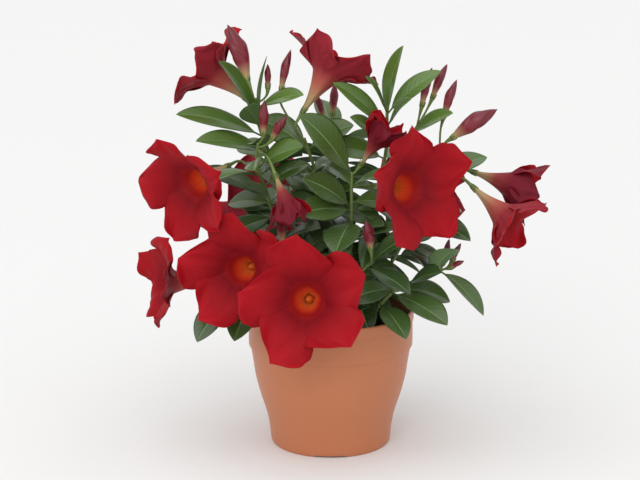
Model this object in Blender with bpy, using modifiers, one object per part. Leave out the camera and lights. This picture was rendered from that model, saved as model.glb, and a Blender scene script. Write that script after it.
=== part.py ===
"""A potted red mandevilla: plastic pot, potting soil, leafy stems, red trumpet blooms and furled buds.

Lengths in the tables are millimetres. The origin is the centre of the pot's underside and +Z is up.
The viewer stands at -Y.
"""

import bpy
import bmesh
import math
import random
import numpy as np
from mathutils import Matrix
from mathutils import Vector
from mathutils.bvhtree import BVHTree

MM = 0.001
GAP = 0.3

POT_HEIGHT = 117.0
RIM_RADIUS = 70.0
BAND_RADIUS = 69.2
BAND_FOOT_HEIGHT = 85.0
FLOOR_TOP = 5.0
CHANNEL_HEIGHT = 2.6
POT_STEPS = 24
DRAIN_HOLES = 6
DRAIN_RADIUS = 4.0
DRAIN_CIRCLE = 30.0
FOOT_NOTCHES = 3
NOTCH_WIDTH = 26.0
NOTCH_HEIGHT = 1.6
FOOT_RING_RADIUS = 47.0

POT_OUTLINE = [(60, 44), (65.6, 72), (70.5, 86), (70.5, 117), (69, 117.5), (67, 117), (66, 95)]
SOIL_TOP = 101.0
SOIL_STEPS = 24
SOIL_OUTLINE = [(67, SOIL_TOP + 1), (54, SOIL_TOP + 1), (36, SOIL_TOP + 1.4), (1, SOIL_TOP + 1.4)]
STEM_BURIED = 12.0
STEM_HOLE_DEPTH = 40.0
LUMP_HEIGHT = 1.4

STEM_FOOT_RADIUS = 2.3
STEM_TIP_RADIUS = 1.2
PEDICEL_RADIUS = 0.9
CALYX_RADIUS = 2.1
STEM_STEPS = 1

TUBE_LENGTH = 38.0
MOUTH_RADIUS = 11.8
FUNNEL = [(1.9, TUBE_LENGTH), (4.6, 20.0), (MOUTH_RADIUS, 0.0)]
ROOT_HALF_ANGLE = 30.0
LOBE_ROW_SPREAD = 1.3
LOBE_LENGTH = 40.0
LOBE_TWIST = 3.6
LOBE_SKEW = 7.0
LOBE_WIDTH = 36.0
LOBES = 5
PETAL_THICKNESS = 0.7

LEAF_THICKNESS = 0.7
LEAF_ROWS = 3
LEAF_STALK = 1.8
LOBE_ROWS = 3
CLEARANCE = 0.9
ROOT_SHARE = 0.12
ROOT_REACH = 0.7

# Each path is one stem or side shoot: the leafy stem that it belongs to, then its points from root to tip.
PATHS = {
    "front": ("stem_front", [(-6, -24), (-8, -31, 118), (-7, -36, 146), (0, -36, 176)]),
    "frontShoot": ("stem_front", [(-7, -34, 136), (12, -44, 148), (32, -50, 168)]),
    "leftLow": ("stem_left_low", [(-24, -12), (-34, -18, 120), (-46, -22, 148), (-57, -15, 178)]),
    "leftLowShoot": ("stem_left_low", [(-43, -20, 141), (-60, -30, 136), (-82, -34, 138)]),
    "leftMid": ("stem_left_mid", [(-18, 6), (-30, 4, 140), (-46, -6, 195), (-61, -17, 243), (-60, -20, 262)]),
    "topLeft": ("stem_top_left", [(-8, 22), (-22, 26, 160), (-44, 20, 225), (-60, 12, 270), (-62, 8, 294)]),
    "topCentre": ("stem_top_centre", [(4, 6), (2, 8, 160), (-10, 4, 225), (-22, 0, 262)]),
    "centre": ("stem_centre", [(14, -10), (16, -16, 150), (17, -20, 200), (17, -22, 238)]),
    "topRight": (
        "stem_top_right", [(18, 12), (30, 12, 160), (42, 6, 220), (47, 2, 262), (46, 2, 288)],
    ),
    "topRightShoot": ("stem_top_right", [(43, 5, 232), (60, 4, 256), (72, 3, 272)]),
    "right": ("stem_right", [(28, 2), (48, 0, 150), (72, -2, 196), (90, -4, 234)]),
    "rightLow": ("stem_right_low", [(24, -18), (33, -34, 120), (50, -42, 142), (74, -36, 152), (92, -31, 158)]),
    "backLeft": ("stem_back_left", [(-14, 32), (-30, 50, 138), (-44, 60, 186), (-50, 64, 228)]),
    "backRight": ("stem_back_right", [(14, 30), (34, 46, 138), (50, 55, 178), (58, 58, 216)]),
    "back": ("stem_back", [(0, 27), (2, 42, 150), (4, 50, 210), (2, 54, 256)]),
}

# Bloom: the middle of its mouth, the way it faces, its roll in degrees, its scale, how far its lobes
# turn out from the axis in degrees, and the place on a path where its pedicel starts.
BLOOMS = {
    "bloom_front": ((-20, -90, 148), (-0.10, -0.96, 0.22), 15, 1.08, 98, ("front", 0.42)),
    "bloom_left_low": ((-72, -58, 165), (-0.35, -0.90, 0.10), 12, 1.00, 92, ("leftLow", 0.85)),
    "bloom_far_left_low": ((-133, 10, 136), (-0.90, -0.30, 0.10), 0, 0.85, 88, ("leftLow", 0.70)),
    "bloom_left": ((-110, -36, 232), (-0.62, -0.72, -0.20), 20, 1.05, 88, ("leftMid", 0.85)),
    "bloom_top_left": ((-94, 15, 312), (-0.77, 0.12, 0.62), 10, 0.88, 85, ("topLeft", 0.97)),
    "bloom_top": ((-5, 5, 313), (0.52, 0.30, 0.80), 30, 0.95, 80, ("topCentre", 0.97)),
    "bloom_right": ((60, -52, 231), (0.62, -0.76, 0.12), 5, 1.08, 95, ("centre", 0.92)),
    "bloom_far_right": ((141, -18, 202), (0.70, -0.35, -0.60), 12, 0.88, 62, ("right", 0.88)),
    "bloom_half_right": ((147, 26, 218), (0.94, -0.05, -0.32), 0, 0.78, 22, ("right", 0.96)),
    "bloom_half_left": ((-38, -49, 222), (0.35, -0.15, -0.92), 0, 0.55, 22, ("leftMid", 0.97)),
    "bloom_half_centre": ((36, -21, 262), (0.52, -0.10, 0.84), 0, 0.58, 18, ("centre", 0.98)),
    "bloom_back_left": ((-52, 101, 180), (-0.35, 0.92, 0.16), 25, 1.00, 92, ("backLeft", 0.60)),
    "bloom_back_right": ((72, 94, 196), (0.52, 0.84, 0.15), 50, 0.98, 90, ("backRight", 0.70)),
}

# Bud: where its foot and its tip are, its largest radius, and the place where its pedicel starts.
BUDS = {
    "bud_left_1": ((-55, -21, 269), (-54, -23, 298), 4.2, ("leftMid", 0.99)),
    "bud_left_2": ((-48, -24, 266), (-36, -29, 286), 3.8, ("leftMid", 0.98)),
    "bud_left_3": ((-40, -48, 184), (-38, -50, 219), 5.0, ("leftLow", 0.60)),
    "bud_top_1": ((-41, 8, 301), (-33, 11, 334), 3.8, ("topCentre", 0.90)),
    "bud_top_2": ((-52, 6, 303), (-52, 5, 323), 2.8, ("topLeft", 0.98)),
    "bud_top_big": ((-68, -8, 312), (-84, -11, 358), 7.5, ("topLeft", 0.95)),
    "bud_right_1": ((75, 0, 289), (83, 0, 321), 3.8, ("topRightShoot", 0.97)),
    "bud_right_2": ((84, 9, 294), (96, 11, 322), 3.8, ("topRightShoot", 0.98)),
    "bud_right_3": ((93, -5, 281), (103, -6, 312), 4.0, ("right", 0.99)),
    "bud_right_big": ((99, -11, 264), (136, -15, 289), 7.0, ("right", 0.98)),
    "bud_centre": ((32, -62, 183), (28, -66, 208), 4.8, ("frontShoot", 0.98)),
    "bud_low_1": ((94, -33, 166), (97, -36, 185), 2.6, ("rightLow", 0.98)),
    "bud_low_2": ((100, -29, 164), (107, -30, 180), 2.5, ("rightLow", 0.97)),
    "bud_low_3": ((98, -37, 161), (109, -42, 168), 2.3, ("rightLow", 0.99)),
    "bud_back_1": ((2, 57, 270), (4, 62, 298), 3.8, ("back", 0.99)),
    "bud_back_2": ((-6, 50, 268), (-14, 50, 292), 3.2, ("back", 0.98)),
}

# Leaf: its path, its place along it, where its tip is, its width and its roll towards the viewer in degrees.
LEAVES = [
    ("topLeft", 0.90, (-90, -8, 326), 22, 55),
    ("topLeft", 0.84, (-124, -14, 284), 23, 40),
    ("topLeft", 0.76, (-108, -24, 264), 22, 40),
    ("topLeft", 0.96, (-24, -12, 300), 20, 35),
    ("topLeft", 0.92, (-38, -8, 322), 16, 50),
    ("leftMid", 0.72, (-104, -2, 244), 20, 35),
    ("leftMid", 0.88, (-24, -38, 262), 26, 45),
    ("leftMid", 0.62, (-88, -50, 186), 22, 30),
    ("leftMid", 0.50, (-10, -44, 196), 24, 30),
    ("centre", 0.97, (-24, -42, 288), 32, 65),
    ("centre", 0.80, (-22, -40, 236), 28, 60),
    ("centre", 0.72, (4, -62, 180), 34, 0),
    ("centre", 0.60, (52, -50, 196), 26, 20),
    ("leftLowShoot", 0.97, (-108, -62, 106), 25, 20),
    ("leftLowShoot", 0.55, (-78, -66, 108), 26, 10),
    ("frontShoot", 0.96, (66, -68, 196), 24, 40),
    ("frontShoot", 0.90, (62, -76, 150), 24, 15),
    ("frontShoot", 0.60, (12, -68, 168), 17, 20),
    ("rightLow", 0.58, (92, -76, 124), 30, 15),
    ("rightLow", 0.45, (60, -88, 124), 24, 10),
    ("rightLow", 0.97, (124, -40, 122), 22, 20),
    ("rightLow", 0.72, (88, -58, 162), 24, 30),
    ("right", 0.72, (112, -44, 186), 22, 35),
    ("topRight", 0.95, (58, -4, 338), 20, 60),
    ("topRight", 0.90, (10, -10, 316), 18, 60),
    ("topRight", 0.97, (88, -5, 318), 18, 55),
    ("topRight", 0.92, (64, -22, 298), 16, 50),
    ("topRightShoot", 0.80, (98, -18, 286), 18, 45),
    ("topRight", 0.84, (24, -24, 282), 18, 50),
    ("topRight", 0.98, (40, -6, 326), 13, 55),
]

# Leaf pairs that fill each path: the first and last place of a pair, how many pairs, and the leaves' length.
LEAF_PAIRS = {
    "front": (0.46, 0.97, 3, 46),
    "leftLow": (0.36, 0.98, 4, 46),
    "leftMid": (0.22, 0.84, 5, 50),
    "topLeft": (0.22, 0.74, 4, 50),
    "topCentre": (0.22, 0.94, 6, 50),
    "centre": (0.20, 0.92, 6, 50),
    "topRight": (0.20, 0.78, 5, 50),
    "right": (0.26, 0.94, 4, 50),
    "rightLow": (0.36, 0.90, 3, 46),
    "backLeft": (0.28, 0.94, 4, 52),
    "backRight": (0.28, 0.94, 4, 52),
    "back": (0.26, 0.96, 5, 52),
}
PAIR_TURN = 90.0
PAIR_START_TURN = 35.0
PAIR_PITCH = -34.0
PAIR_RISE = 62.0
PAIR_ROLL = 48.0
LEAF_SHAPE = 0.52


def clear_scene():
    """Removes every object that the file starts with."""
    for obj in list(bpy.data.objects):
        bpy.data.objects.remove(obj, do_unlink=True)


def new_collection(name, hidden=False):
    """Makes a collection under the scene's own."""
    made = bpy.data.collections.new(name)
    made.hide_render = hidden
    bpy.context.scene.collection.children.link(made)
    return made


def new_material(name, colour, roughness):
    """A Principled material of one colour."""
    made = bpy.data.materials.new(name)
    made.use_nodes = True
    shader = made.node_tree.nodes["Principled BSDF"]
    shader.inputs["Base Color"].default_value = (*colour, 1.0)
    shader.inputs["Roughness"].default_value = roughness
    shader.inputs["Metallic"].default_value = 0.0
    return made


def place(name, mesh, material, collection):
    """Puts a mesh in the scene as an object with one material, shaded smooth."""
    obj = bpy.data.objects.new(name, mesh)
    mesh.materials.clear()
    mesh.materials.append(material)
    mesh.shade_smooth()
    collection.objects.link(obj)
    return obj


def evaluated_mesh(obj):
    """The object's mesh with its modifiers applied, in world space, its caps welded."""
    bpy.context.view_layer.update()
    graph = bpy.context.evaluated_depsgraph_get()
    mesh = bpy.data.meshes.new_from_object(obj.evaluated_get(graph))
    mesh.transform(obj.matrix_world)
    bm = bmesh.new()
    bm.from_mesh(mesh)
    bmesh.ops.remove_doubles(bm, verts=bm.verts, dist=1e-6)
    bmesh.ops.recalc_face_normals(bm, faces=bm.faces)
    bm.to_mesh(mesh)
    bm.free()
    return mesh


def smooth_path(points, steps):
    """A curve through every point, `steps` points a span, in metres: each span is a Catmull-Rom cubic."""
    p = np.array(points, float) * MM
    p = np.vstack([2 * p[0] - p[1], p, 2 * p[-1] - p[-2]])
    u = np.linspace(0, 1, steps, endpoint=False)[:, None]
    spans = []
    for a, b, c, d in zip(p[:-3], p[1:-2], p[2:-1], p[3:]):
        square = (2 * a - 5 * b + 4 * c - d) * u**2
        cube = (3 * b - a - 3 * c + d) * u**3
        spans.append(0.5 * (2 * b + (c - a) * u + square + cube))
    return np.vstack(spans + [p[-2:-1]])


def at_fraction(line, fraction):
    """The point at a share of a line's length."""
    reach = np.concatenate([[0], np.cumsum(np.linalg.norm(np.diff(line, axis=0), axis=1))])
    return np.array([np.interp(fraction * reach[-1], reach, line[:, k]) for k in range(3)])


def tube_mesh(name, line, radii, resolution=1):
    """A round tube along a line, of one radius a point, from a bevelled curve with filled caps."""
    curve = bpy.data.curves.new(name, "CURVE")
    curve.dimensions = "3D"
    curve.bevel_depth = 1.0
    curve.bevel_resolution = resolution
    curve.use_fill_caps = True
    spline = curve.splines.new("POLY")
    spline.points.add(len(line) - 1)
    for point, place_at, radius in zip(spline.points, line, radii):
        point.co = (*place_at, 1.0)
        point.radius = radius
    obj = bpy.data.objects.new(name, curve)
    bpy.context.scene.collection.objects.link(obj)
    mesh = evaluated_mesh(obj)
    bpy.data.objects.remove(obj)
    bpy.data.curves.remove(curve)
    return mesh


def turned_mesh(name, profile, steps):
    """A profile turned about Z with Screw."""
    mesh = bpy.data.meshes.new(name)
    points = [(r * MM, 0.0, h * MM) for r, h in profile]
    mesh.from_pydata(points, [(i, i + 1) for i in range(len(points) - 1)], [])
    obj = bpy.data.objects.new(name, mesh)
    bpy.context.scene.collection.objects.link(obj)
    screw = obj.modifiers.new("turn", "SCREW")
    screw.steps = steps
    screw.render_steps = steps
    screw.use_merge_vertices = True
    screw.merge_threshold = 1e-5
    made = evaluated_mesh(obj)
    bpy.data.objects.remove(obj)
    bpy.data.meshes.remove(mesh)
    return made


def blade_mesh(name, shape, rows, columns, thickness):
    """A thin blade: a grid whose points follow shape(s, t), with a wall."""
    bm = bmesh.new()
    add_grid(bm, shape, rows, columns)
    return walled_mesh(name, bm, thickness)


def fused(name, meshes, material, collection):
    """One solid from several closed meshes, by one Boolean union on a collection."""
    first = place(name, meshes[0], material, collection)
    if len(meshes) == 1:
        return first
    rest = bpy.data.collections.new(name + "_pieces")
    bpy.context.scene.collection.children.link(rest)
    for index, mesh in enumerate(meshes[1:]):
        place(f"{name}_piece_{index}", mesh, material, rest)
    union = first.modifiers.new("fuse", "BOOLEAN")
    union.operation = "UNION"
    union.operand_type = "COLLECTION"
    union.collection = rest
    union.solver = "MANIFOLD"
    mesh = evaluated_mesh(first)
    first.modifiers.clear()
    first.data = mesh
    mesh.materials.clear()
    mesh.materials.append(material)
    for obj in list(rest.objects):
        bpy.data.objects.remove(obj, do_unlink=True)
    bpy.data.collections.remove(rest)
    return first


def grid_faces(rows, columns):
    """The quads of a grid of rows by columns, over points listed row by row."""
    corner = (np.arange(rows)[:, None] * (columns + 1) + np.arange(columns)).ravel()
    return np.stack([corner, corner + 1, corner + columns + 2, corner + columns + 1], axis=1)


def swollen_blade(shape, rows, columns, thickness, first=0.0):
    """Points and quads of a blade made thicker than it is, so that it keeps clear of what it misses."""
    s, t = np.meshgrid(np.linspace(first, 1, rows + 1), np.linspace(-1, 1, columns + 1), indexing="ij")
    points = shape(s.ravel(), t.ravel()).reshape(rows + 1, columns + 1, 3)
    normal = np.cross(np.gradient(points, axis=0), np.gradient(points, axis=1))
    normal /= np.linalg.norm(normal, axis=2)[:, :, None] + 1e-12
    half = normal * thickness * MM / 2
    layers = np.concatenate([(points + half).reshape(-1, 3), (points - half).reshape(-1, 3)])
    count = (rows + 1) * (columns + 1)
    faces = grid_faces(rows, columns)
    ring = np.arange(count).reshape(rows + 1, columns + 1)
    ring = np.concatenate([ring[0], ring[1:, -1], ring[-1, -2::-1], ring[-2::-1, 0]])
    rim = np.stack([ring[:-1], ring[1:], ring[1:] + count, ring[:-1] + count], axis=1)
    return layers, np.concatenate([faces, faces + count, rim])


def ring_tube(line, radii, sides):
    """Points and quads of a plain tube along a line, one radius a point."""
    ahead = np.gradient(np.array(line, float), axis=0)
    ahead /= np.linalg.norm(ahead, axis=1)[:, None]
    aside = np.cross(ahead, (0.35, 0.86, 0.37))
    aside /= np.linalg.norm(aside, axis=1)[:, None]
    third = np.cross(ahead, aside)
    turn = np.linspace(0, 2 * math.pi, sides + 1)
    spread = np.array(radii)[:, None, None]
    spokes = np.cos(turn)[:, None] * aside[:, None] + np.sin(turn)[:, None] * third[:, None]
    points = np.array(line)[:, None] + spread * spokes
    return points.reshape(-1, 3), grid_faces(len(line) - 1, sides)


def search_tree(shapes):
    """One search tree over several shapes, for telling whether another crosses any of them."""
    points = []
    faces = []
    for some, quads in shapes:
        faces += (np.array(quads) + len(points)).tolist()
        points += some.tolist()
    return BVHTree.FromPolygons(points, faces)


def pot_mesh():
    """The pot: rim bead, band, bellied body, foot ring, a raised channel below and drain holes."""
    outer = [
        (RIM_RADIUS - 1.2, POT_HEIGHT), (RIM_RADIUS, POT_HEIGHT - 1.2), (RIM_RADIUS, 107.0),
        (BAND_RADIUS, 106.0), (BAND_RADIUS, BAND_FOOT_HEIGHT + 1.2), (68.0, BAND_FOOT_HEIGHT),
        (65.6, 72.0), (63.8, 59.0), (60.0, 44.0), (54.4, 27.0), (52.0, 15.0), (50.6, 2.0), (48.6, 0.0),
    ]
    under = [(44.0, 0.0), (42.5, CHANNEL_HEIGHT), (16.5, CHANNEL_HEIGHT), (15.0, 0.0), (0.0, 0.0)]
    inner = [
        (0.0, FLOOR_TOP), (48.4, FLOOR_TOP), (52.2, 27.0), (57.8, 44.0), (61.6, 59.0), (63.4, 72.0),
        (65.4, BAND_FOOT_HEIGHT), (67.0, 95.0), (67.8, POT_HEIGHT),
    ]
    return turned_mesh("pot", outer + under + inner + outer[:1], POT_STEPS)


def add_cutter(name, bm, collection):
    """Turns bm into a cutter that shows as a wire frame and isn't rendered."""
    mesh = bpy.data.meshes.new(name)
    bm.to_mesh(mesh)
    bm.free()
    obj = bpy.data.objects.new(name, mesh)
    obj.display_type = "WIRE"
    obj.hide_render = True
    collection.objects.link(obj)


def add_hole_cutter(name, middle, radius, depth, steps, collection):
    """An upright round cutter about a middle point, in millimetres."""
    bm = bmesh.new()
    spot = Matrix.Translation(Vector(middle) * MM)
    ends = {"radius1": radius * MM, "radius2": radius * MM}
    bmesh.ops.create_cone(bm, cap_ends=True, segments=steps, depth=depth * MM, matrix=spot, **ends)
    add_cutter(name, bm, collection)


def pot_cutters(collection):
    """Cutters for the drain holes in the channel and for the notches through the foot ring."""
    for index in range(DRAIN_HOLES):
        turn = 2 * math.pi * (index + 0.5) / DRAIN_HOLES
        spot = (DRAIN_CIRCLE * math.cos(turn), DRAIN_CIRCLE * math.sin(turn), FLOOR_TOP / 2)
        add_hole_cutter(f"drain_{index}", spot, DRAIN_RADIUS, 2 * FLOOR_TOP, 12, collection)
    for index in range(FOOT_NOTCHES):
        turn = 2 * math.pi * index / FOOT_NOTCHES - math.pi / 2
        bm = bmesh.new()
        size = Matrix.Diagonal((14 * MM, NOTCH_WIDTH * MM, 2 * NOTCH_HEIGHT * MM, 1.0))
        spot = Matrix.Rotation(turn, 4, "Z") @ Matrix.Translation((FOOT_RING_RADIUS * MM, 0, 0))
        bmesh.ops.create_cube(bm, size=1.0, matrix=spot @ size)
        add_cutter(f"notch_{index}", bm, collection)
    return collection


def make_pot(collection, cutters, material):
    """The pot, less its drain holes and notches."""
    obj = place("pot", pot_mesh(), material, collection)
    cut = obj.modifiers.new("holes", "BOOLEAN")
    cut.operation = "DIFFERENCE"
    cut.operand_type = "COLLECTION"
    cut.collection = pot_cutters(cutters)
    obj.data.set_sharp_from_angle(angle=math.radians(35))
    return obj


def soil_mesh():
    """The soil: a turned body that follows the pot's inside, with a lumpy top."""
    side = [
        (66.4, SOIL_TOP - 1.5), (64.8, BAND_FOOT_HEIGHT), (61.0, 59.0), (51.6, 27.0), (47.8, FLOOR_TOP + GAP),
        (0.0, FLOOR_TOP + GAP),
    ]
    top = [(0.0, SOIL_TOP), (18.0, SOIL_TOP), (36.0, SOIL_TOP), (54.0, SOIL_TOP)]
    mesh = turned_mesh("soil", top + side, SOIL_STEPS)
    draw = random.Random(11)
    for vert in mesh.vertices:
        reach = math.hypot(vert.co.x, vert.co.y) / MM
        if vert.co.z > (SOIL_TOP - 0.6) * MM and reach < 60:
            vert.co.z += draw.uniform(-LUMP_HEIGHT, LUMP_HEIGHT) * MM
    return mesh


def make_soil(collection, cutters, material, feet):
    """The soil with a plain round hole for each stem."""
    obj = place("soil", soil_mesh(), material, collection)
    holes = bpy.data.collections.new("stem_holes")
    cutters.children.link(holes)
    bottom = SOIL_TOP - STEM_BURIED - GAP
    for index, (x, y) in enumerate(feet):
        middle = (x, y, bottom + STEM_HOLE_DEPTH / 2)
        add_hole_cutter(f"stem_hole_{index}", middle, STEM_FOOT_RADIUS + 2 * GAP, STEM_HOLE_DEPTH, 8, holes)
    cut = obj.modifiers.new("stem holes", "BOOLEAN")
    cut.operation = "DIFFERENCE"
    cut.operand_type = "COLLECTION"
    cut.collection = holes
    return obj


def turned_obstacle(outline):
    """A turned outline as a plain shape for the search."""
    turn = np.linspace(0, 2 * math.pi, 33)
    r, h = np.array(outline, float).T * MM
    points = np.stack([np.outer(r, np.cos(turn)), np.outer(r, np.sin(turn)), np.outer(h, np.ones(33))], axis=2)
    return points.reshape(-1, 3), grid_faces(len(outline) - 1, 32)


def path_points(name):
    """A path's points: a main stem stands straight in the soil before it leans."""
    points = PATHS[name][1]
    if len(points[0]) == 3:
        return points
    x, y = points[0]
    return [(x, y, SOIL_TOP - STEM_BURIED), (x, y, SOIL_TOP + 2)] + list(points[1:])


def facing_frame(facing, roll):
    """Three axes of a bloom: across, up and forward, with a roll about the last."""
    forward = Vector(facing).normalized()
    side = Vector((0, 0, 1)).cross(forward)
    side = side.normalized() if side.length > 1e-6 else Vector((1, 0, 0))
    up = forward.cross(side)
    turn = Matrix.Rotation(math.radians(roll), 3, forward)
    return np.array(turn @ side), np.array(turn @ up), np.array(forward)


def bloom_foot(bloom):
    """The place where a bloom's tube starts."""
    mouth, facing, _, scale, _, _ = bloom
    forward = np.array(Vector(facing).normalized())
    return np.array(mouth, float) - forward * TUBE_LENGTH * scale


def lobe_shape(bloom, index, rng):
    """One petal lobe: it leaves the mouth along a curve that turns outwards, is widest past its middle,
    ends in a point set to one side, and lies over its left neighbour and under its right one."""
    mouth, facing, roll, scale, flare, _ = bloom
    side, up, forward = facing_frame(facing, roll)
    middle = np.array(mouth, float)
    turn = 2 * math.pi * index / LOBES
    length = LOBE_LENGTH * scale * rng.uniform(0.92, 1.08)
    start = math.radians(min(38, flare))
    bend = math.radians(max(1.0, flare + rng.uniform(-9, 9))) - start
    bend = bend if abs(bend) > 0.02 else 0.02
    width = LOBE_WIDTH * scale * rng.uniform(0.92, 1.06) * (0.45 + 0.55 * min(1.0, flare / 85.0))
    wave = rng.uniform(1.2, 2.6) * scale
    phase = rng.uniform(0, 2 * math.pi)
    skew = (LOBE_SKEW + rng.uniform(-3.5, 3.5)) * scale
    root = MOUTH_RADIUS * scale
    half_root = math.radians(ROOT_HALF_ANGLE)

    def shape(s, t):
        # Rows lie closer together towards the tip.
        s = 1 - (1 - s) ** LOBE_ROW_SPREAD
        slope = start + bend * s
        out = length * (math.cos(start) - np.cos(slope)) / bend
        rise = length * (np.sin(slope) - math.sin(start)) / bend
        half = width * s**0.8 * np.maximum(1 - s**3.2, 0) ** 0.75
        half = half * (1 - (1 - s) ** 4)
        across = root * np.sin(t * half_root) * (1 - s) ** 2 + t * half + skew * s**2
        radial = root * (np.cos(t * half_root) * (1 - s) + s) + out
        # The lift is taken across the blade's own slope.
        lift = (t * LOBE_TWIST * scale + wave * np.sin(phase + 5.2 * s + 1.3 * t) * t**2) * s * (1 - s**8)
        radial = radial - lift * np.cos(slope)
        rise = rise + lift * np.sin(slope)
        x = radial * math.cos(turn) - across * math.sin(turn)
        y = radial * math.sin(turn) + across * math.cos(turn)
        return (middle + np.outer(x, side) + np.outer(y, up) + np.outer(rise, forward)) * MM

    return shape


def funnel_shape(bloom, columns):
    """The tube and throat: s runs from the foot to the mouth, and t goes once round. Its columns end
    where the lobes' edges and middles start."""
    mouth, facing, roll, scale, _, _ = bloom
    side, up, forward = facing_frame(facing, roll)
    middle = np.array(mouth, float)
    profile = np.array(FUNNEL)
    sector = 2 * math.pi / LOBES
    half_root = math.radians(ROOT_HALF_ANGLE)
    per_lobe = columns // LOBES

    def shape(s, t):
        step = np.round((t + 1) / 2 * columns)
        turn = sector * (step // per_lobe) + half_root * (step % per_lobe - 1)
        place_at = s * (len(profile) - 1)
        radius = np.interp(place_at, np.arange(len(profile)), profile[:, 0]) * scale
        back = np.interp(place_at, np.arange(len(profile)), profile[:, 1]) * scale
        x = radius * np.cos(turn)
        y = radius * np.sin(turn)
        return (middle + np.outer(x, side) + np.outer(y, up) - np.outer(back, forward)) * MM

    return shape


def add_grid(bm, shape, rows, columns):
    """Adds to bm a grid whose points follow shape(s, t)."""
    made = bmesh.ops.create_grid(bm, x_segments=columns, y_segments=rows, size=1.0)["verts"]
    t = np.array([v.co.x for v in made])
    s = np.array([(v.co.y + 1.0) / 2.0 for v in made])
    for vert, point in zip(made, shape(s, t)):
        vert.co = point
    bmesh.ops.remove_doubles(bm, verts=made, dist=1e-5)


def walled_mesh(name, bm, thickness):
    """The mesh of a thin sheet, split into triangles and given a wall about its middle."""
    bmesh.ops.triangulate(bm, faces=bm.faces)
    mesh = bpy.data.meshes.new(name)
    bm.to_mesh(mesh)
    bm.free()
    obj = bpy.data.objects.new(name, mesh)
    bpy.context.scene.collection.objects.link(obj)
    wall = obj.modifiers.new("wall", "SOLIDIFY")
    wall.thickness = thickness * MM
    wall.offset = 0.0
    made = evaluated_mesh(obj)
    bpy.data.objects.remove(obj)
    bpy.data.meshes.remove(mesh)
    return made


def bloom_shapes(bloom, seed):
    """The five lobes of a bloom, drawn from its own seed."""
    rng = random.Random(seed)
    return [lobe_shape(bloom, index, rng) for index in range(LOBES)]


def bloom_mesh(name, bloom, seed):
    """A bloom in one sheet: the funnel, with the five lobes welded to its mouth, then given a wall."""
    bm = bmesh.new()
    add_grid(bm, funnel_shape(bloom, 3 * LOBES), len(FUNNEL) - 1, 3 * LOBES)
    for shape in bloom_shapes(bloom, seed):
        add_grid(bm, shape, LOBE_ROWS, 2)
    bmesh.ops.remove_doubles(bm, verts=bm.verts, dist=1e-5)
    bmesh.ops.recalc_face_normals(bm, faces=bm.faces)
    return walled_mesh(name, bm, PETAL_THICKNESS)


def bloom_obstacle(bloom, seed):
    """A bloom's lobes and funnel as plain shapes for the search."""
    facing = np.array(Vector(bloom[1]).normalized())
    middle = np.array(bloom[0], float)
    line = [(middle - facing * back * bloom[3]) * MM for _, back in FUNNEL]
    shapes = [ring_tube(line, [radius * bloom[3] * MM for radius, _ in FUNNEL], 8)]
    lobes = bloom_shapes(bloom, seed)
    return shapes + [swollen_blade(shape, LOBE_ROWS, 2, PETAL_THICKNESS) for shape in lobes]


def bud_line(bud):
    """A furled bud's axis and radii: a thin neck that swells past its middle and runs to a point."""
    foot, tip, radius, _ = bud
    shares = np.array([0.0, 0.14, 0.36, 0.60, 0.84, 1.0])
    girths = [1.5, 0.36 * radius + 0.9, 0.88 * radius, radius, 0.55 * radius, 0.35]
    a = np.array(foot, float)
    b = np.array(tip, float)
    return (a + np.outer(shares, b - a)) * MM, np.array(girths) * MM


def stalk_line(line, share, end, facing, lead):
    """A flower stalk's points and radii: from inside its stem to a calyx that stops short of the flower."""
    forward = np.array(Vector(facing).normalized())
    tip = np.array(end, float) - forward * GAP
    start = at_fraction(line, share) / MM
    lead = min(lead, 0.5 * np.linalg.norm(tip - start))
    route = smooth_path([start, tip - forward * lead, tip - forward * 3.2, tip], STEM_STEPS)
    radii = np.full(len(route), PEDICEL_RADIUS)
    radii[-2:] = (1.5, CALYX_RADIUS)
    return route, radii * MM


def stem_line(name):
    """A stem's or side shoot's points and radii."""
    line = smooth_path(path_points(name), STEM_STEPS)
    foot = STEM_FOOT_RADIUS if len(PATHS[name][1][0]) == 2 else STEM_FOOT_RADIUS * 0.7
    return line, np.linspace(foot, STEM_TIP_RADIUS, len(line)) * MM


def leaf_shape(foot, direction, length, width, roll, droop, seed):
    """One leaf: it starts just outside its stem's axis, and its midrib is an arc that droops. Its outline
    is an oval with a short stalk and a pointed tip. Its halves rise a little from the midrib, with a
    slight wave at the edge."""
    rng = random.Random(seed)
    azimuth, pitch = direction
    start = math.radians(pitch + droop / 2)
    bend = math.radians(droop)
    out = np.array([math.cos(azimuth), math.sin(azimuth), 0.0])
    high = np.array([0.0, 0.0, 1.0])
    across = np.cross(high, out)
    fold = math.radians(rng.uniform(10, 20))
    wave = rng.uniform(0.4, 1.1)
    phase = rng.uniform(0, 2 * math.pi)
    foot = np.array(foot, float) + ROOT_REACH * out
    turn = math.radians(roll)

    def shape(s, t):
        slope = start - bend * s
        run = length * (math.sin(start) - np.sin(slope)) / bend
        climb = length * (np.cos(slope) - math.cos(start)) / bend
        blade = np.clip((s - 0.10) / 0.90, 0, 1)
        half = width * 2.1 * blade**0.72 * np.maximum(1 - blade**1.9, 0) ** 0.92
        half = np.maximum(half, LEAF_STALK / 2 * (s < 0.99))
        up = np.outer(-np.sin(slope), out) + np.outer(np.cos(slope), high)
        flat = math.cos(turn) * across + math.sin(turn) * up
        normal = math.cos(turn) * up - math.sin(turn) * across
        reach = (t * half)[:, None]
        rise = (np.abs(t) * half * math.sin(fold) + wave * np.sin(phase + 7 * s) * t * blade * (1 - blade))[:, None]
        spine = foot + np.outer(run, out) + np.outer(climb, high)
        return (spine + flat * reach * math.cos(fold) + normal * rise) * MM

    return shape


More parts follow.
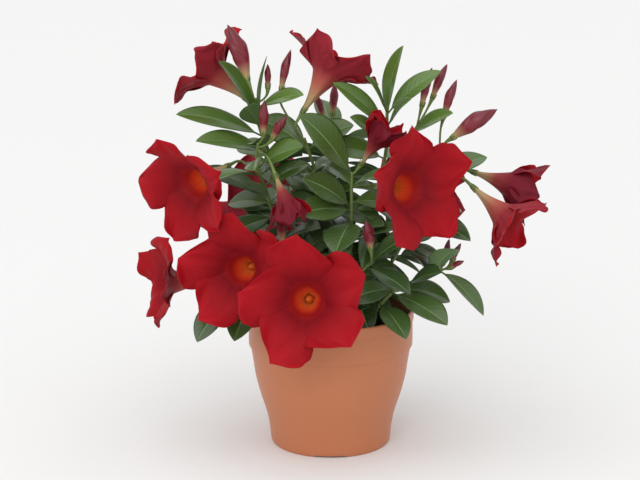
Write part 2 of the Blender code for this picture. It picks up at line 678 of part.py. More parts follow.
def bends():
    """The bends that a leaf tries, least first: degrees of turn and of pitch, then its share of length."""
    tried = [(0, 0)]
    for step in (9, 18, 28, 40):
        for turn, pitch in ((0, 1), (0, -1), (1, 0), (-1, 0), (1, 1), (-1, 1), (1, -1), (-1, -1)):
            tried.append((turn * step, pitch * step))
    return [(turn, pitch, share) for share in (1.0, 0.86, 0.72) for turn, pitch in tried]


def fitted_leaf(foot, azimuth, pitch, length, width, roll, droop, seed, others, own):
    """The least bent form of a leaf that crosses nothing, or None. Its root may cross its own stem."""
    for turn, tilt, share in bends():
        direction = (azimuth + math.radians(turn), max(-70, min(80, pitch + tilt)))
        shape = leaf_shape(foot, direction, length * share, width * (0.5 + share / 2), roll, droop, seed)
        thick = LEAF_THICKNESS + 2 * CLEARANCE
        whole = search_tree([swollen_blade(shape, LEAF_ROWS, 2, thick)])
        if any(whole.overlap(other) for other in others):
            continue
        beyond = search_tree([swollen_blade(shape, LEAF_ROWS, 2, thick, ROOT_SHARE)])
        if not any(beyond.overlap(other) for other in own):
            return shape, whole, beyond
    return None


def outward_share(foot, azimuth):
    """How far a leaf has to roll for its face to look away from the plant's middle: -1 to 1."""
    away = np.array([foot[0], foot[1] - 25.0])
    away /= np.linalg.norm(away) + 1e-9
    return math.sin(azimuth) * away[0] - math.cos(azimuth) * away[1]


def leaf_list(lines):
    """Every leaf in the order that it is fitted: its path, foot, direction, size, roll and droop."""
    found = []
    for path, share, tip, width, roll in LEAVES:
        foot = at_fraction(lines[path], share) / MM
        way = np.array(tip, float) - foot
        # A leaf that points left rolls the other way to show its face.
        sign = 1 if way[0] < 0 else -1
        pitch = math.degrees(math.atan2(way[2], math.hypot(way[0], way[1])))
        length = np.linalg.norm(way) * 1.04
        found.append((path, foot, math.atan2(way[1], way[0]), pitch, length, width / 2, -sign * roll, 26))
    draw = random.Random(6)
    for path, (first, last, pairs, length) in LEAF_PAIRS.items():
        turn = PAIR_START_TURN + draw.uniform(0, 90)
        for pair in range(pairs):
            share = first + (last - first) * pair / max(1, pairs - 1)
            foot = at_fraction(lines[path], share) / MM
            for half in (0, 180):
                azimuth = math.radians(turn + half + draw.uniform(-14, 14))
                pitch = PAIR_PITCH + PAIR_RISE * share**2 + draw.uniform(-10, 10)
                size = length * draw.uniform(0.82, 1.08)
                half_width = size * LEAF_SHAPE / 2
                roll = PAIR_ROLL * outward_share(foot, azimuth) + draw.uniform(-12, 12)
                found.append((path, foot, azimuth, pitch, size, half_width, roll, 34))
            turn += PAIR_TURN
    return found


def main():
    clear_scene()
    parts = new_collection("potted_mandevilla")
    cutters = new_collection("cutters", hidden=True)
    pot_plastic = new_material("pot_plastic", (0.50, 0.18, 0.08), 0.5)
    soil_peat = new_material("soil_peat", (0.02, 0.014, 0.01), 0.95)
    leaf_green = new_material("leaf_green", (0.05, 0.10, 0.03), 0.35)
    petal_red = new_material("petal_red", (0.50, 0.01, 0.02), 0.45)
    bud_maroon = new_material("bud_maroon", (0.22, 0.01, 0.03), 0.45)

    obstacles = [turned_obstacle(POT_OUTLINE), turned_obstacle(SOIL_OUTLINE)]
    for seed, (name, bloom) in enumerate(BLOOMS.items()):
        place(name, bloom_mesh(name, bloom, seed), petal_red, parts)
        obstacles += bloom_obstacle(bloom, seed)
    for name, bud in BUDS.items():
        line, radii = bud_line(bud)
        place(name, tube_mesh(name, line, radii), bud_maroon, parts)
        obstacles.append(ring_tube(line, radii, 6))

    lines = {name: stem_line(name) for name in PATHS}
    tubes = [(PATHS[name][0], *line, 1) for name, line in lines.items()]
    for bloom in BLOOMS.values():
        path, share = bloom[5]
        tubes.append((PATHS[path][0], *stalk_line(lines[path][0], share, bloom_foot(bloom), bloom[1], 14), 0))
    for bud in BUDS.values():
        path, share = bud[3]
        way = np.array(bud[1], float) - np.array(bud[0], float)
        tubes.append((PATHS[path][0], *stalk_line(lines[path][0], share, bud[0], way, 9), 0))
    stem_pieces = {stem: [] for stem, _ in PATHS.values()}
    for stem, line, radii, resolution in tubes:
        stem_pieces[stem].append(tube_mesh(stem, line, radii, resolution))
    stem_trees = {
        stem: search_tree([ring_tube(line, radii, 6) for owner, line, radii, _ in tubes if owner == stem])
        for stem in stem_pieces
    }

    all_round = search_tree(obstacles)
    fitted = []
    for seed, leaf in enumerate(leaf_list({name: line for name, (line, _) in lines.items()})):
        stem = PATHS[leaf[0]][0]
        others = [all_round] + [tree for other, tree in stem_trees.items() if other != stem]
        others += [whole for other, whole, _ in fitted if other != stem]
        own = [beyond for other, _, beyond in fitted if other == stem]
        found = fitted_leaf(*leaf[1:], seed, others, own)
        if found is None:
            print("left out", leaf[0], seed)
            continue
        shape, whole, beyond = found
        fitted.append((stem, whole, beyond))
        stem_pieces[stem].append(blade_mesh("leaf", shape, LEAF_ROWS, 2, LEAF_THICKNESS))
    for stem, pieces in stem_pieces.items():
        fused(stem, pieces, leaf_green, parts)

    make_pot(parts, cutters, pot_plastic)
    feet = [points[0] for _, points in PATHS.values() if len(points[0]) == 2]
    make_soil(parts, cutters, soil_peat, feet)


main()
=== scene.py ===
# A potted red mandevilla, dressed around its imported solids.
# Lengths in the tables are millimetres, and meshes are in metres. The viewer stands at -Y.
import math
import random

import bmesh
import bpy
import numpy as np
from mathutils import Matrix, Vector
from mathutils.bvhtree import BVHTree


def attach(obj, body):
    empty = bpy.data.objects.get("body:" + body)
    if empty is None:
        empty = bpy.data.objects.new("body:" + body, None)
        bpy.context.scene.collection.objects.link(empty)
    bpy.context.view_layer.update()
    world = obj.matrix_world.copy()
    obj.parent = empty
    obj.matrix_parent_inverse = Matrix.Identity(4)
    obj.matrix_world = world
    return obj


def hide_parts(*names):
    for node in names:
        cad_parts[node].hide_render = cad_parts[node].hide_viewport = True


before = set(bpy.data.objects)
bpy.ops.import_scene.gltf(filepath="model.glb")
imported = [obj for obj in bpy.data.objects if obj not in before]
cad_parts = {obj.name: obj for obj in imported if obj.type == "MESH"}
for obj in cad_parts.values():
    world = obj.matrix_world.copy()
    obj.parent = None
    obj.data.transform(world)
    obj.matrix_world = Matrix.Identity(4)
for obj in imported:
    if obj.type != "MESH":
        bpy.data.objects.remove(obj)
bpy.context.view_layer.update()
mm = 0.001

# Numbers shared by the solids and this scene
plant = {
    "gap": 0.3,
    "soilTop": 101.0,
    "stemBuried": 12.0,
    "stemFootRadius": 2.3,
    "stemTipRadius": 1.2,
    "pedicelRadius": 0.9,
    "calyxRadius": 2.1,
    "tubeLength": 38.0,
    "mouthRadius": 11.8,
    "funnel": [(1.9, 38.0), (4.6, 20.0), (11.8, 0.0)],  # radius, distance behind the mouth
    "tubeAside": (0.35, 0.86, 0.37),  # a direction that no stem runs along
    "lobes": 5,
    "lobeLength": 40.0,
    "lobeWidth": 36.0,
    "lobeTwist": 3.6,
    "lobeSkew": 7.0,
    "petalThickness": 0.7,
    "leafThickness": 0.7,
    "clearance": 0.9,
    "rootShare": 0.12,
    "rootReach": 0.7,
    "budShares": (0.0, 0.14, 0.36, 0.60, 0.84, 1.0),  # where a bud's girths stand along it
    "potOutline": [(60, 44), (65.6, 72), (70.5, 86), (70.5, 117), (69, 117.5), (67, 117), (66, 95)],
    "soilOutline": [(67, 102.0), (54, 102.0), (36, 102.4), (1, 102.4)],
    "leafShape": 0.52,
    "pairTurn": 90.0,
    "pairStartTurn": 35.0,
    "pairPitch": -34.0,
    "pairRise": 62.0,
    "pairRoll": 48.0,
}

# Each path is one stem or side shoot: the leafy stem that it belongs to, then its points from root to tip.
pathTable = {
    "front": ("stem_front", [(-6, -24), (-8, -31, 118), (-7, -36, 146), (0, -36, 176)]),
    "frontShoot": ("stem_front", [(-7, -34, 136), (12, -44, 148), (32, -50, 168)]),
    "leftLow": ("stem_left_low", [(-24, -12), (-34, -18, 120), (-46, -22, 148), (-57, -15, 178)]),
    "leftLowShoot": ("stem_left_low", [(-43, -20, 141), (-60, -30, 136), (-82, -34, 138)]),
    "leftMid": ("stem_left_mid", [(-18, 6), (-30, 4, 140), (-46, -6, 195), (-61, -17, 243), (-60, -20, 262)]),
    "topLeft": ("stem_top_left", [(-8, 22), (-22, 26, 160), (-44, 20, 225), (-60, 12, 270), (-62, 8, 294)]),
    "topCentre": ("stem_top_centre", [(4, 6), (2, 8, 160), (-10, 4, 225), (-22, 0, 262)]),
    "centre": ("stem_centre", [(14, -10), (16, -16, 150), (17, -20, 200), (17, -22, 238)]),
    "topRight": (
        "stem_top_right", [(18, 12), (30, 12, 160), (42, 6, 220), (47, 2, 262), (46, 2, 288)],
    ),
    "topRightShoot": ("stem_top_right", [(43, 5, 232), (60, 4, 256), (72, 3, 272)]),
    "right": ("stem_right", [(28, 2), (48, 0, 150), (72, -2, 196), (90, -4, 234)]),
    "rightLow": (
        "stem_right_low", [(24, -18), (33, -34, 120), (50, -42, 142), (74, -36, 152), (92, -31, 158)],
    ),
    "backLeft": ("stem_back_left", [(-14, 32), (-30, 50, 138), (-44, 60, 186), (-50, 64, 228)]),
    "backRight": ("stem_back_right", [(14, 30), (34, 46, 138), (50, 55, 178), (58, 58, 216)]),
    "back": ("stem_back", [(0, 27), (2, 42, 150), (4, 50, 210), (2, 54, 256)]),
}

# Bloom: the middle of its mouth, the way it faces, its roll in degrees, its scale, how far its lobes
# turn out from the axis in degrees, and the place on a path where its pedicel starts.
bloomTable = {
    "bloom_front": ((-20, -90, 148), (-0.10, -0.96, 0.22), 15, 1.08, 98, ("front", 0.42)),
    "bloom_left_low": ((-72, -58, 165), (-0.35, -0.90, 0.10), 12, 1.00, 92, ("leftLow", 0.85)),
    "bloom_far_left_low": ((-133, 10, 136), (-0.90, -0.30, 0.10), 0, 0.85, 88, ("leftLow", 0.70)),
    "bloom_left": ((-110, -36, 232), (-0.62, -0.72, -0.20), 20, 1.05, 88, ("leftMid", 0.85)),
    "bloom_top_left": ((-94, 15, 312), (-0.77, 0.12, 0.62), 10, 0.88, 85, ("topLeft", 0.97)),
    "bloom_top": ((-5, 5, 313), (0.52, 0.30, 0.80), 30, 0.95, 80, ("topCentre", 0.97)),
    "bloom_right": ((60, -52, 231), (0.62, -0.76, 0.12), 5, 1.08, 95, ("centre", 0.92)),
    "bloom_far_right": ((141, -18, 202), (0.70, -0.35, -0.60), 12, 0.88, 62, ("right", 0.88)),
    "bloom_half_right": ((147, 26, 218), (0.94, -0.05, -0.32), 0, 0.78, 22, ("right", 0.96)),
    "bloom_half_left": ((-38, -49, 222), (0.35, -0.15, -0.92), 0, 0.55, 22, ("leftMid", 0.97)),
    "bloom_half_centre": ((36, -21, 262), (0.52, -0.10, 0.84), 0, 0.58, 18, ("centre", 0.98)),
    "bloom_back_left": ((-52, 101, 180), (-0.35, 0.92, 0.16), 25, 1.00, 92, ("backLeft", 0.60)),
    "bloom_back_right": ((72, 94, 196), (0.52, 0.84, 0.15), 50, 0.98, 90, ("backRight", 0.70)),
}

# Bud: where its foot and its tip are, its largest radius, and the place where its pedicel starts.
budTable = {
    "bud_left_1": ((-55, -21, 269), (-54, -23, 298), 4.2, ("leftMid", 0.99)),
    "bud_left_2": ((-48, -24, 266), (-36, -29, 286), 3.8, ("leftMid", 0.98)),
    "bud_left_3": ((-40, -48, 184), (-38, -50, 219), 5.0, ("leftLow", 0.60)),
    "bud_top_1": ((-41, 8, 301), (-33, 11, 334), 3.8, ("topCentre", 0.90)),
    "bud_top_2": ((-52, 6, 303), (-52, 5, 323), 2.8, ("topLeft", 0.98)),
    "bud_top_big": ((-68, -8, 312), (-84, -11, 358), 7.5, ("topLeft", 0.95)),
    "bud_right_1": ((75, 0, 289), (83, 0, 321), 3.8, ("topRightShoot", 0.97)),
    "bud_right_2": ((84, 9, 294), (96, 11, 322), 3.8, ("topRightShoot", 0.98)),
    "bud_right_3": ((93, -5, 281), (103, -6, 312), 4.0, ("right", 0.99)),
    "bud_right_big": ((99, -11, 264), (136, -15, 289), 7.0, ("right", 0.98)),
    "bud_centre": ((32, -62, 183), (28, -66, 208), 4.8, ("frontShoot", 0.98)),
    "bud_low_1": ((94, -33, 166), (97, -36, 185), 2.6, ("rightLow", 0.98)),
    "bud_low_2": ((100, -29, 164), (107, -30, 180), 2.5, ("rightLow", 0.97)),
    "bud_low_3": ((98, -37, 161), (109, -42, 168), 2.3, ("rightLow", 0.99)),
    "bud_back_1": ((2, 57, 270), (4, 62, 298), 3.8, ("back", 0.99)),
    "bud_back_2": ((-6, 50, 268), (-14, 50, 292), 3.2, ("back", 0.98)),
}

# Leaf: its path, its place along it, where its tip is, its width, and its roll towards the viewer in degrees.
leafTable = [
    ("topLeft", 0.90, (-90, -8, 326), 22, 55),
    ("topLeft", 0.84, (-124, -14, 284), 23, 40),
    ("topLeft", 0.76, (-108, -24, 264), 22, 40),
    ("topLeft", 0.96, (-24, -12, 300), 20, 35),
    ("topLeft", 0.92, (-38, -8, 322), 16, 50),
    ("leftMid", 0.72, (-104, -2, 244), 20, 35),
    ("leftMid", 0.88, (-24, -38, 262), 26, 45),
    ("leftMid", 0.62, (-88, -50, 186), 22, 30),
    ("leftMid", 0.50, (-10, -44, 196), 24, 30),
    ("centre", 0.97, (-24, -42, 288), 32, 65),
    ("centre", 0.80, (-22, -40, 236), 28, 60),
    ("centre", 0.72, (4, -62, 180), 34, 0),
    ("centre", 0.60, (52, -50, 196), 26, 20),
    ("leftLowShoot", 0.97, (-108, -62, 106), 25, 20),
    ("leftLowShoot", 0.55, (-78, -66, 108), 26, 10),
    ("frontShoot", 0.96, (66, -68, 196), 24, 40),
    ("frontShoot", 0.90, (62, -76, 150), 24, 15),
    ("frontShoot", 0.60, (12, -68, 168), 17, 20),
    ("rightLow", 0.58, (92, -76, 124), 30, 15),
    ("rightLow", 0.45, (60, -88, 124), 24, 10),
    ("rightLow", 0.97, (124, -40, 122), 22, 20),
    ("rightLow", 0.72, (88, -58, 162), 24, 30),
    ("right", 0.72, (112, -44, 186), 22, 35),
    ("topRight", 0.95, (58, -4, 338), 20, 60),
    ("topRight", 0.90, (10, -10, 316), 18, 60),
    ("topRight", 0.97, (88, -5, 318), 18, 55),
    ("topRight", 0.92, (64, -22, 298), 16, 50),
    ("topRightShoot", 0.80, (98, -18, 286), 18, 45),
    ("topRight", 0.84, (24, -24, 282), 18, 50),
    ("topRight", 0.98, (40, -6, 326), 13, 55),
]

# Leaf pairs that fill each path: the first and last place of a pair, how many pairs, and their length.
pairTable = {
    "front": (0.46, 0.97, 3, 46),
    "leftLow": (0.36, 0.98, 4, 46),
    "leftMid": (0.22, 0.84, 5, 50),
    "topLeft": (0.22, 0.74, 4, 50),
    "topCentre": (0.22, 0.94, 6, 50),
    "centre": (0.20, 0.92, 6, 50),
    "topRight": (0.20, 0.78, 5, 50),
    "right": (0.26, 0.94, 4, 50),
    "rightLow": (0.36, 0.90, 3, 46),
    "backLeft": (0.28, 0.94, 4, 52),
    "backRight": (0.28, 0.94, 4, 52),
    "back": (0.26, 0.96, 5, 52),
}

# Meshes

def gridFaces(rows, columns, wrapped=False):
    # quads of a grid listed row by row; a wrapped one closes its last column onto the first
    across = columns if wrapped else columns + 1
    row, column = np.meshgrid(np.arange(rows), np.arange(columns), indexing="ij")
    after = (column + 1) % across
    a = row * across + column
    b = row * across + after
    return np.stack([a, b, b + across, a + across], axis=-1).reshape(-1, 4)


class Piece:
    # collects surfaces, then makes one mesh object of them
    def __init__(self):
        self.points = []
        self.faces = []
        self.kinds = []
        self.stores = {"along": [], "across": [], "tone": []}
        self.count = 0

    def add(self, points, faces, along=0.0, across=0.0, tone=0.0, kind=0):
        points = np.asarray(points).reshape(-1, 3)
        size = len(points)
        self.points.append(points)
        self.faces.append(np.asarray(faces) + self.count)
        for store, value in zip(self.stores.values(), (along, across, tone)):
            store.append(np.broadcast_to(np.asarray(value, float).ravel(), (size,)))
        self.kinds.append(np.broadcast_to(np.asarray(kind), (len(faces),)))
        self.count += size

    def make(self, name, materials, nodes=()):
        mesh = bpy.data.meshes.new(name)
        mesh.from_pydata(np.concatenate(self.points).tolist(), [], np.concatenate(self.faces).tolist())
        for key, store in self.stores.items():
            layer = mesh.attributes.new(key, "FLOAT", "POINT")
            layer.data.foreach_set("value", np.concatenate(store).astype(np.float32))
        for material in materials:
            mesh.materials.append(material)
        mesh.polygons.foreach_set("material_index", np.concatenate(self.kinds).astype(np.int32))
        bm = bmesh.new()
        bm.from_mesh(mesh)
        bmesh.ops.remove_doubles(bm, verts=bm.verts, dist=2e-6)
        bmesh.ops.recalc_face_normals(bm, faces=bm.faces)
        bm.to_mesh(mesh)
        bm.free()
        mesh.shade_smooth()
        obj = linked(name, mesh)
        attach(obj, "root")
        if nodes:
            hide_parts(*nodes)
        return obj


def linked(name, data):
    obj = bpy.data.objects.new(name, data)
    bpy.context.scene.collection.objects.link(obj)
    return obj


def unit(vector):
    vector = np.asarray(vector, float)
    return vector / np.maximum(np.linalg.norm(vector, axis=-1, keepdims=True), 1e-12)


def tubeRings(line, ahead, radii, turn):
    # rings round a line: point = line + radius * (cos(turn) * aside + sin(turn) * third)
    ahead = unit(ahead)
    aside = unit(np.cross(ahead, plant["tubeAside"]))
    third = np.cross(ahead, aside)
    spokes = np.cos(turn)[:, None] * aside[:, None] + np.sin(turn)[:, None] * third[:, None]
    return (line[:, None] + radii[:, None, None] * spokes).reshape(-1, 3)


def ringTube(line, radii, sides):
    # an open tube whose first and last columns stand on each other
    line = np.array(line, float)
    turn = np.linspace(0, 2 * math.pi, sides + 1)
    return tubeRings(line, np.gradient(line, axis=0), np.array(radii), turn), gridFaces(len(line) - 1, sides)


def closedTube(line, radii, sides):
    # a tube with its ends drawn in to points
    line = np.vstack([line[:1], line, line[-1:]])
    radii = np.concatenate([[0], radii, [0]])
    ahead = np.gradient(line, axis=0)
    ahead[0] = ahead[1]
    ahead[-1] = ahead[-2]
    return tubeRings(line, ahead, radii, roundTurn(sides)), gridFaces(len(line) - 1, sides, True)


def polyline(points):
    return np.array(points, float) * mm


def lengthsAlong(line):
    return np.concatenate([[0], np.cumsum(np.linalg.norm(np.diff(line, axis=0), axis=1))])


def atFraction(line, fraction):
    reach = lengthsAlong(line)
    return np.array([np.interp(fraction * reach[-1], reach, line[:, k]) for k in range(3)])


def roundedLine(line, radii, step=1.5 * mm, reach=4):
    # points every step along a polyline, each then averaged with reach neighbours either side
    length = lengthsAlong(line)
    count = max(6, int(length[-1] / step))
    spot = np.linspace(0, length[-1], count)
    dense = np.stack([np.interp(spot, length, line[:, k]) for k in range(3)], axis=1)
    thick = np.interp(spot, length, radii)
    padded = np.vstack([2 * dense[0] - dense[reach:0:-1], dense, 2 * dense[-1] - dense[-2:-reach - 2:-1]])
    kernel = np.ones(2 * reach + 1) / (2 * reach + 1)
    smooth = np.stack([np.convolve(padded[:, k], kernel, mode="valid") for k in range(3)], axis=1)
    return smooth, thick


# The same leaf search as in the solids, so that each leaf stands where its solid does

def swollenBlade(shape, rows, columns, thickness, first=0.0):
    s, t = np.meshgrid(np.linspace(first, 1, rows + 1), np.linspace(-1, 1, columns + 1), indexing="ij")
    points = shape(s.ravel(), t.ravel()).reshape(rows + 1, columns + 1, 3)
    normal = np.cross(np.gradient(points, axis=0), np.gradient(points, axis=1))
    normal /= np.linalg.norm(normal, axis=2)[:, :, None] + 1e-12
    half = normal * thickness * mm / 2
    layers = np.concatenate([(points + half).reshape(-1, 3), (points - half).reshape(-1, 3)])
    count = (rows + 1) * (columns + 1)
    faces = gridFaces(rows, columns)
    ring = np.arange(count).reshape(rows + 1, columns + 1)
    ring = np.concatenate([ring[0], ring[1:, -1], ring[-1, -2::-1], ring[-2::-1, 0]])
    rim = np.stack([ring[:-1], ring[1:], ring[1:] + count, ring[:-1] + count], axis=1)
    return layers, np.concatenate([faces, faces + count, rim])


def searchTree(shapes):
    points = []
    faces = []
    for some, quads in shapes:
        faces += (np.array(quads) + len(points)).tolist()
        points += some.tolist()
    return BVHTree.FromPolygons(points, faces)


def turnedPoints(profile, turn):
    # a profile turned about Z: (r cos(turn), r sin(turn), h)
    r, h = np.array(profile, float).T * mm
    flat = np.ones(len(turn))
    return np.stack([np.outer(r, np.cos(turn)), np.outer(r, np.sin(turn)), np.outer(h, flat)], axis=2)


def turnedObstacle(outline, steps=32):
    points = turnedPoints(outline, np.linspace(0, 2 * math.pi, steps + 1))
    return points.reshape(-1, 3), gridFaces(len(outline) - 1, steps)


def roundTurn(steps):
    return np.linspace(0, 2 * math.pi, steps, endpoint=False)


def pathPoints(name):
    points = pathTable[name][1]
    if len(points[0]) == 3:
        return points
    x, y = points[0]
    low = plant["soilTop"] - plant["stemBuried"]
    return [(x, y, low), (x, y, plant["soilTop"] + 2)] + list(points[1:])


def facingFrame(facing, roll):
    forward = Vector(facing).normalized()
    side = Vector((0, 0, 1)).cross(forward)
    side = side.normalized() if side.length > 1e-6 else Vector((1, 0, 0))
    up = forward.cross(side)
    turn = Matrix.Rotation(math.radians(roll), 3, forward)
    return np.array(turn @ side), np.array(turn @ up), np.array(forward)


def bloomFoot(bloom):
    forward = np.array(Vector(bloom[1]).normalized())
    return np.array(bloom[0], float) - forward * plant["tubeLength"] * bloom[3]


def isOpen(bloom):
    return bloom[4] > 40


def lobeShape(bloom, index, rng, fine=False, style=(1.0, 1.0, 1.0)):
    # A lobe leaves the mouth along an arc: out = length * (cos(a) - cos(a + b*s)) / b, and
    # rise = length * (sin(a + b*s) - sin(a)) / b. Its half width is width * s^p * (1 - s^q)^r.
    # The fine one has fuller sides, which meet at the mouth, and ruffles along its edges.
    mouth, facing, roll, scale, flare, _ = bloom
    side, up, forward = facingFrame(facing, roll)
    middle = np.array(mouth, float)
    turn = 2 * math.pi * index / plant["lobes"]
    length = plant["lobeLength"] * scale * rng.uniform(0.92, 1.08)
    start = math.radians(min(38, flare))
    bend = math.radians(max(1.0, flare + rng.uniform(-9, 9))) - start
    bend = bend if abs(bend) > 0.02 else 0.02
    width = plant["lobeWidth"] * scale * rng.uniform(0.92, 1.06) * (0.45 + 0.55 * min(1.0, flare / 85.0))
    wave = rng.uniform(1.2, 2.6) * scale
    phase = rng.uniform(0, 2 * math.pi)
    skew = (plant["lobeSkew"] + rng.uniform(-3.5, 3.5)) * scale
    root = plant["mouthRadius"] * scale
    halfRoot = math.radians(36 if fine else 30)
    narrow, point, curl = style

    def shape(s, t):
        s = 1 - (1 - s) ** 1.3
        slope = start + bend * s
        out = length * (math.cos(start) - np.cos(slope)) / bend
        rise = length * (np.sin(slope) - math.sin(start)) / bend
        if fine:
            full = petals["fullness"] * (1.0 if isOpen(bloom) else petals["furledFullness"])
            swirl = petals["swirl" if isOpen(bloom) else "furledSwirl"]
            slim = 1 + (narrow - 1) * np.clip(2.4 * s - 0.5, 0, 1)
            half = full * slim * width * s**0.66 * np.maximum(1 - s ** (2.9 + 0.9 * t), 0) ** point
            scallop = 0.05 * np.sin(2.3 * phase + 14 * s + 2 * t) + 0.025 * np.sin(31 * s + phase + 4 * t)
            half = half * (1 + scallop * s) * (1 - (1 - s) ** 8)
            across = root * np.sin(t * halfRoot) * (1 - s) + t * half + swirl * skew * s**2
        else:
            half = width * s**0.8 * np.maximum(1 - s**3.2, 0) ** 0.75 * (1 - (1 - s) ** 4)
            across = root * np.sin(t * halfRoot) * (1 - s) ** 2 + t * half + skew * s**2
        radial = root * (np.cos(t * halfRoot) * (1 - s) + s) + out
        lift = t * plant["lobeTwist"] * scale + wave * np.sin(phase + 5.2 * s + 1.3 * t) * t**2
        if fine:
            ruffle = np.sin(1.7 * phase + 10 * s + 2.5 * t) * np.abs(t) ** 2.0
            crease = np.exp(-((t / 0.16) ** 2)) * (1 - s)
            frill = np.sin(24 * s + 3 * phase + 2 * t) * t**4 * s
            roll = t**2 * petals["recurve"] * curl * s + t * np.sin(2.1 * phase) * petals["tipTwist"] * s**3
            pleat = np.sin(3 * math.pi * t + phase + 4 * s) * s * (1 - s) * 4
            lift = lift + scale * (petals["ruffle"] * ruffle - petals["crease"] * crease + roll
                                   + petals["pleat"] * pleat + petals["frill"] * frill)
        lift = lift * s * (1 - s**8)
        if fine:
            lift = lift + np.cos(phase) * petals["tipCurl"] * curl * scale * s**4
        radial = radial - lift * np.cos(slope)
        rise = rise + lift * np.sin(slope)
        x = radial * math.cos(turn) - across * math.sin(turn)
        y = radial * math.sin(turn) + across * math.cos(turn)
        return (middle + np.outer(x, side) + np.outer(y, up) + np.outer(rise, forward)) * mm

    return shape


def bloomShapes(bloom, seed, fine=False, style=(1.0, 1.0, 1.0)):
    rng = random.Random(seed)
    return [lobeShape(bloom, index, rng, fine, style) for index in range(plant["lobes"])]


def bloomObstacle(bloom, seed):
    facing = np.array(Vector(bloom[1]).normalized())
    middle = np.array(bloom[0], float)
    line = [(middle - facing * back * bloom[3]) * mm for _, back in plant["funnel"]]
    shapes = [ringTube(line, [radius * bloom[3] * mm for radius, _ in plant["funnel"]], 8)]
    return shapes + [swollenBlade(shape, 3, 2, plant["petalThickness"]) for shape in bloomShapes(bloom, seed)]


def budLine(bud):
    foot, tip, radius, _ = bud
    girths = [1.5, 0.36 * radius + 0.9, 0.88 * radius, radius, 0.55 * radius, 0.35]
    a = np.array(foot, float)
    b = np.array(tip, float)
    return (a + np.outer(np.array(plant["budShares"]), b - a)) * mm, np.array(girths) * mm


def budWay(bud):
    return np.array(bud[1], float) - np.array(bud[0], float)


def stalkLine(line, share, end, facing, lead):
    forward = np.array(Vector(facing).normalized())
    tip = np.array(end, float) - forward * plant["gap"]
    start = atFraction(line, share) / mm
    lead = min(lead, 0.5 * np.linalg.norm(tip - start))
    route = polyline([start, tip - forward * lead, tip - forward * 3.2, tip])
    radii = np.array([plant["pedicelRadius"], plant["pedicelRadius"], 1.5, plant["calyxRadius"]])
    return route, radii * mm


def stemLine(name):
    line = polyline(pathPoints(name))
    foot = plant["stemFootRadius"] * (1 if len(pathTable[name][1][0]) == 2 else 0.7)
    return line, np.linspace(foot, plant["stemTipRadius"], len(line)) * mm


def leafShape(foot, direction, length, width, roll, droop, seed, fine=False):
    # The midrib is an arc that droops: run = length * (sin(a) - sin(a - b*s)) / b, and
    # climb = length * (cos(a - b*s) - cos(a)) / b. The half width is 2.1 * width * v^0.72 * (1 - v^1.9)^0.92,
    # where v is the share of the blade past its stalk. The fine one also says which way its face looks.
    rng = random.Random(seed)
    azimuth, pitch = direction
    start = math.radians(pitch + droop / 2)
    bend = math.radians(droop)
    out = np.array([math.cos(azimuth), math.sin(azimuth), 0.0])
    high = np.array([0.0, 0.0, 1.0])
    across = np.cross(high, out)
    fold = math.radians(rng.uniform(10, 20))
    wave = rng.uniform(0.4, 1.1)
    phase = rng.uniform(0, 2 * math.pi)
    foot = np.array(foot, float) + plant["rootReach"] * out
    turn = math.radians(roll)

    def shape(s, t):
        slope = start - bend * s
        run = length * (math.sin(start) - np.sin(slope)) / bend
        climb = length * (np.cos(slope) - math.cos(start)) / bend
        blade = np.clip((s - 0.10) / 0.90, 0, 1)
        half = width * 2.1 * blade**0.72 * np.maximum(1 - blade**1.9, 0) ** 0.92
        half = np.maximum(half, 0.9 * (s < 0.99))
        if fine:
            half = np.where(s < 0.99, np.hypot(np.where(half > 0.9, half, 0), leaves["stalkRadius"]), 0)
            half = half * np.clip((1 - s) * 60, 0, 1)
        up = np.outer(-np.sin(slope), out) + np.outer(np.cos(slope), high)
        flat = math.cos(turn) * across + math.sin(turn) * up
        normal = math.cos(turn) * up - math.sin(turn) * across
        reach = (t * half)[:, None]
        lift = np.abs(t) * half * math.sin(fold) + wave * np.sin(phase + 7 * s) * t * blade * (1 - blade)
        spine = foot + np.outer(run, out) + np.outer(climb, high)
        points = spine + flat * reach * math.cos(fold) + normal * lift[:, None]
        return (points, normal, half, blade) if fine else points * mm

    return shape


def bends():
    tried = [(0, 0)]
    for step in (9, 18, 28, 40):
        for turn, pitch in ((0, 1), (0, -1), (1, 0), (-1, 0), (1, 1), (-1, 1), (1, -1), (-1, -1)):
            tried.append((turn * step, pitch * step))
    return [(turn, pitch, share) for share in (1.0, 0.86, 0.72) for turn, pitch in tried]


def fittedLeaf(foot, azimuth, pitch, length, width, roll, droop, seed, others, own):
    thick = plant["leafThickness"] + 2 * plant["clearance"]
    for turn, tilt, share in bends():
        direction = (azimuth + math.radians(turn), max(-70, min(80, pitch + tilt)))
        form = (foot, direction, length * share, width * (0.5 + share / 2), roll, droop, seed)
        shape = leafShape(*form)
        whole = searchTree([swollenBlade(shape, 3, 2, thick)])
        if any(whole.overlap(other) for other in others):
            continue
        beyond = searchTree([swollenBlade(shape, 3, 2, thick, plant["rootShare"])])
        if not any(beyond.overlap(other) for other in own):
            return form, whole, beyond
    return None


def outwardShare(foot, azimuth):
    away = np.array([foot[0], foot[1] - 25.0])
    away /= np.linalg.norm(away) + 1e-9
    return math.sin(azimuth) * away[0] - math.cos(azimuth) * away[1]


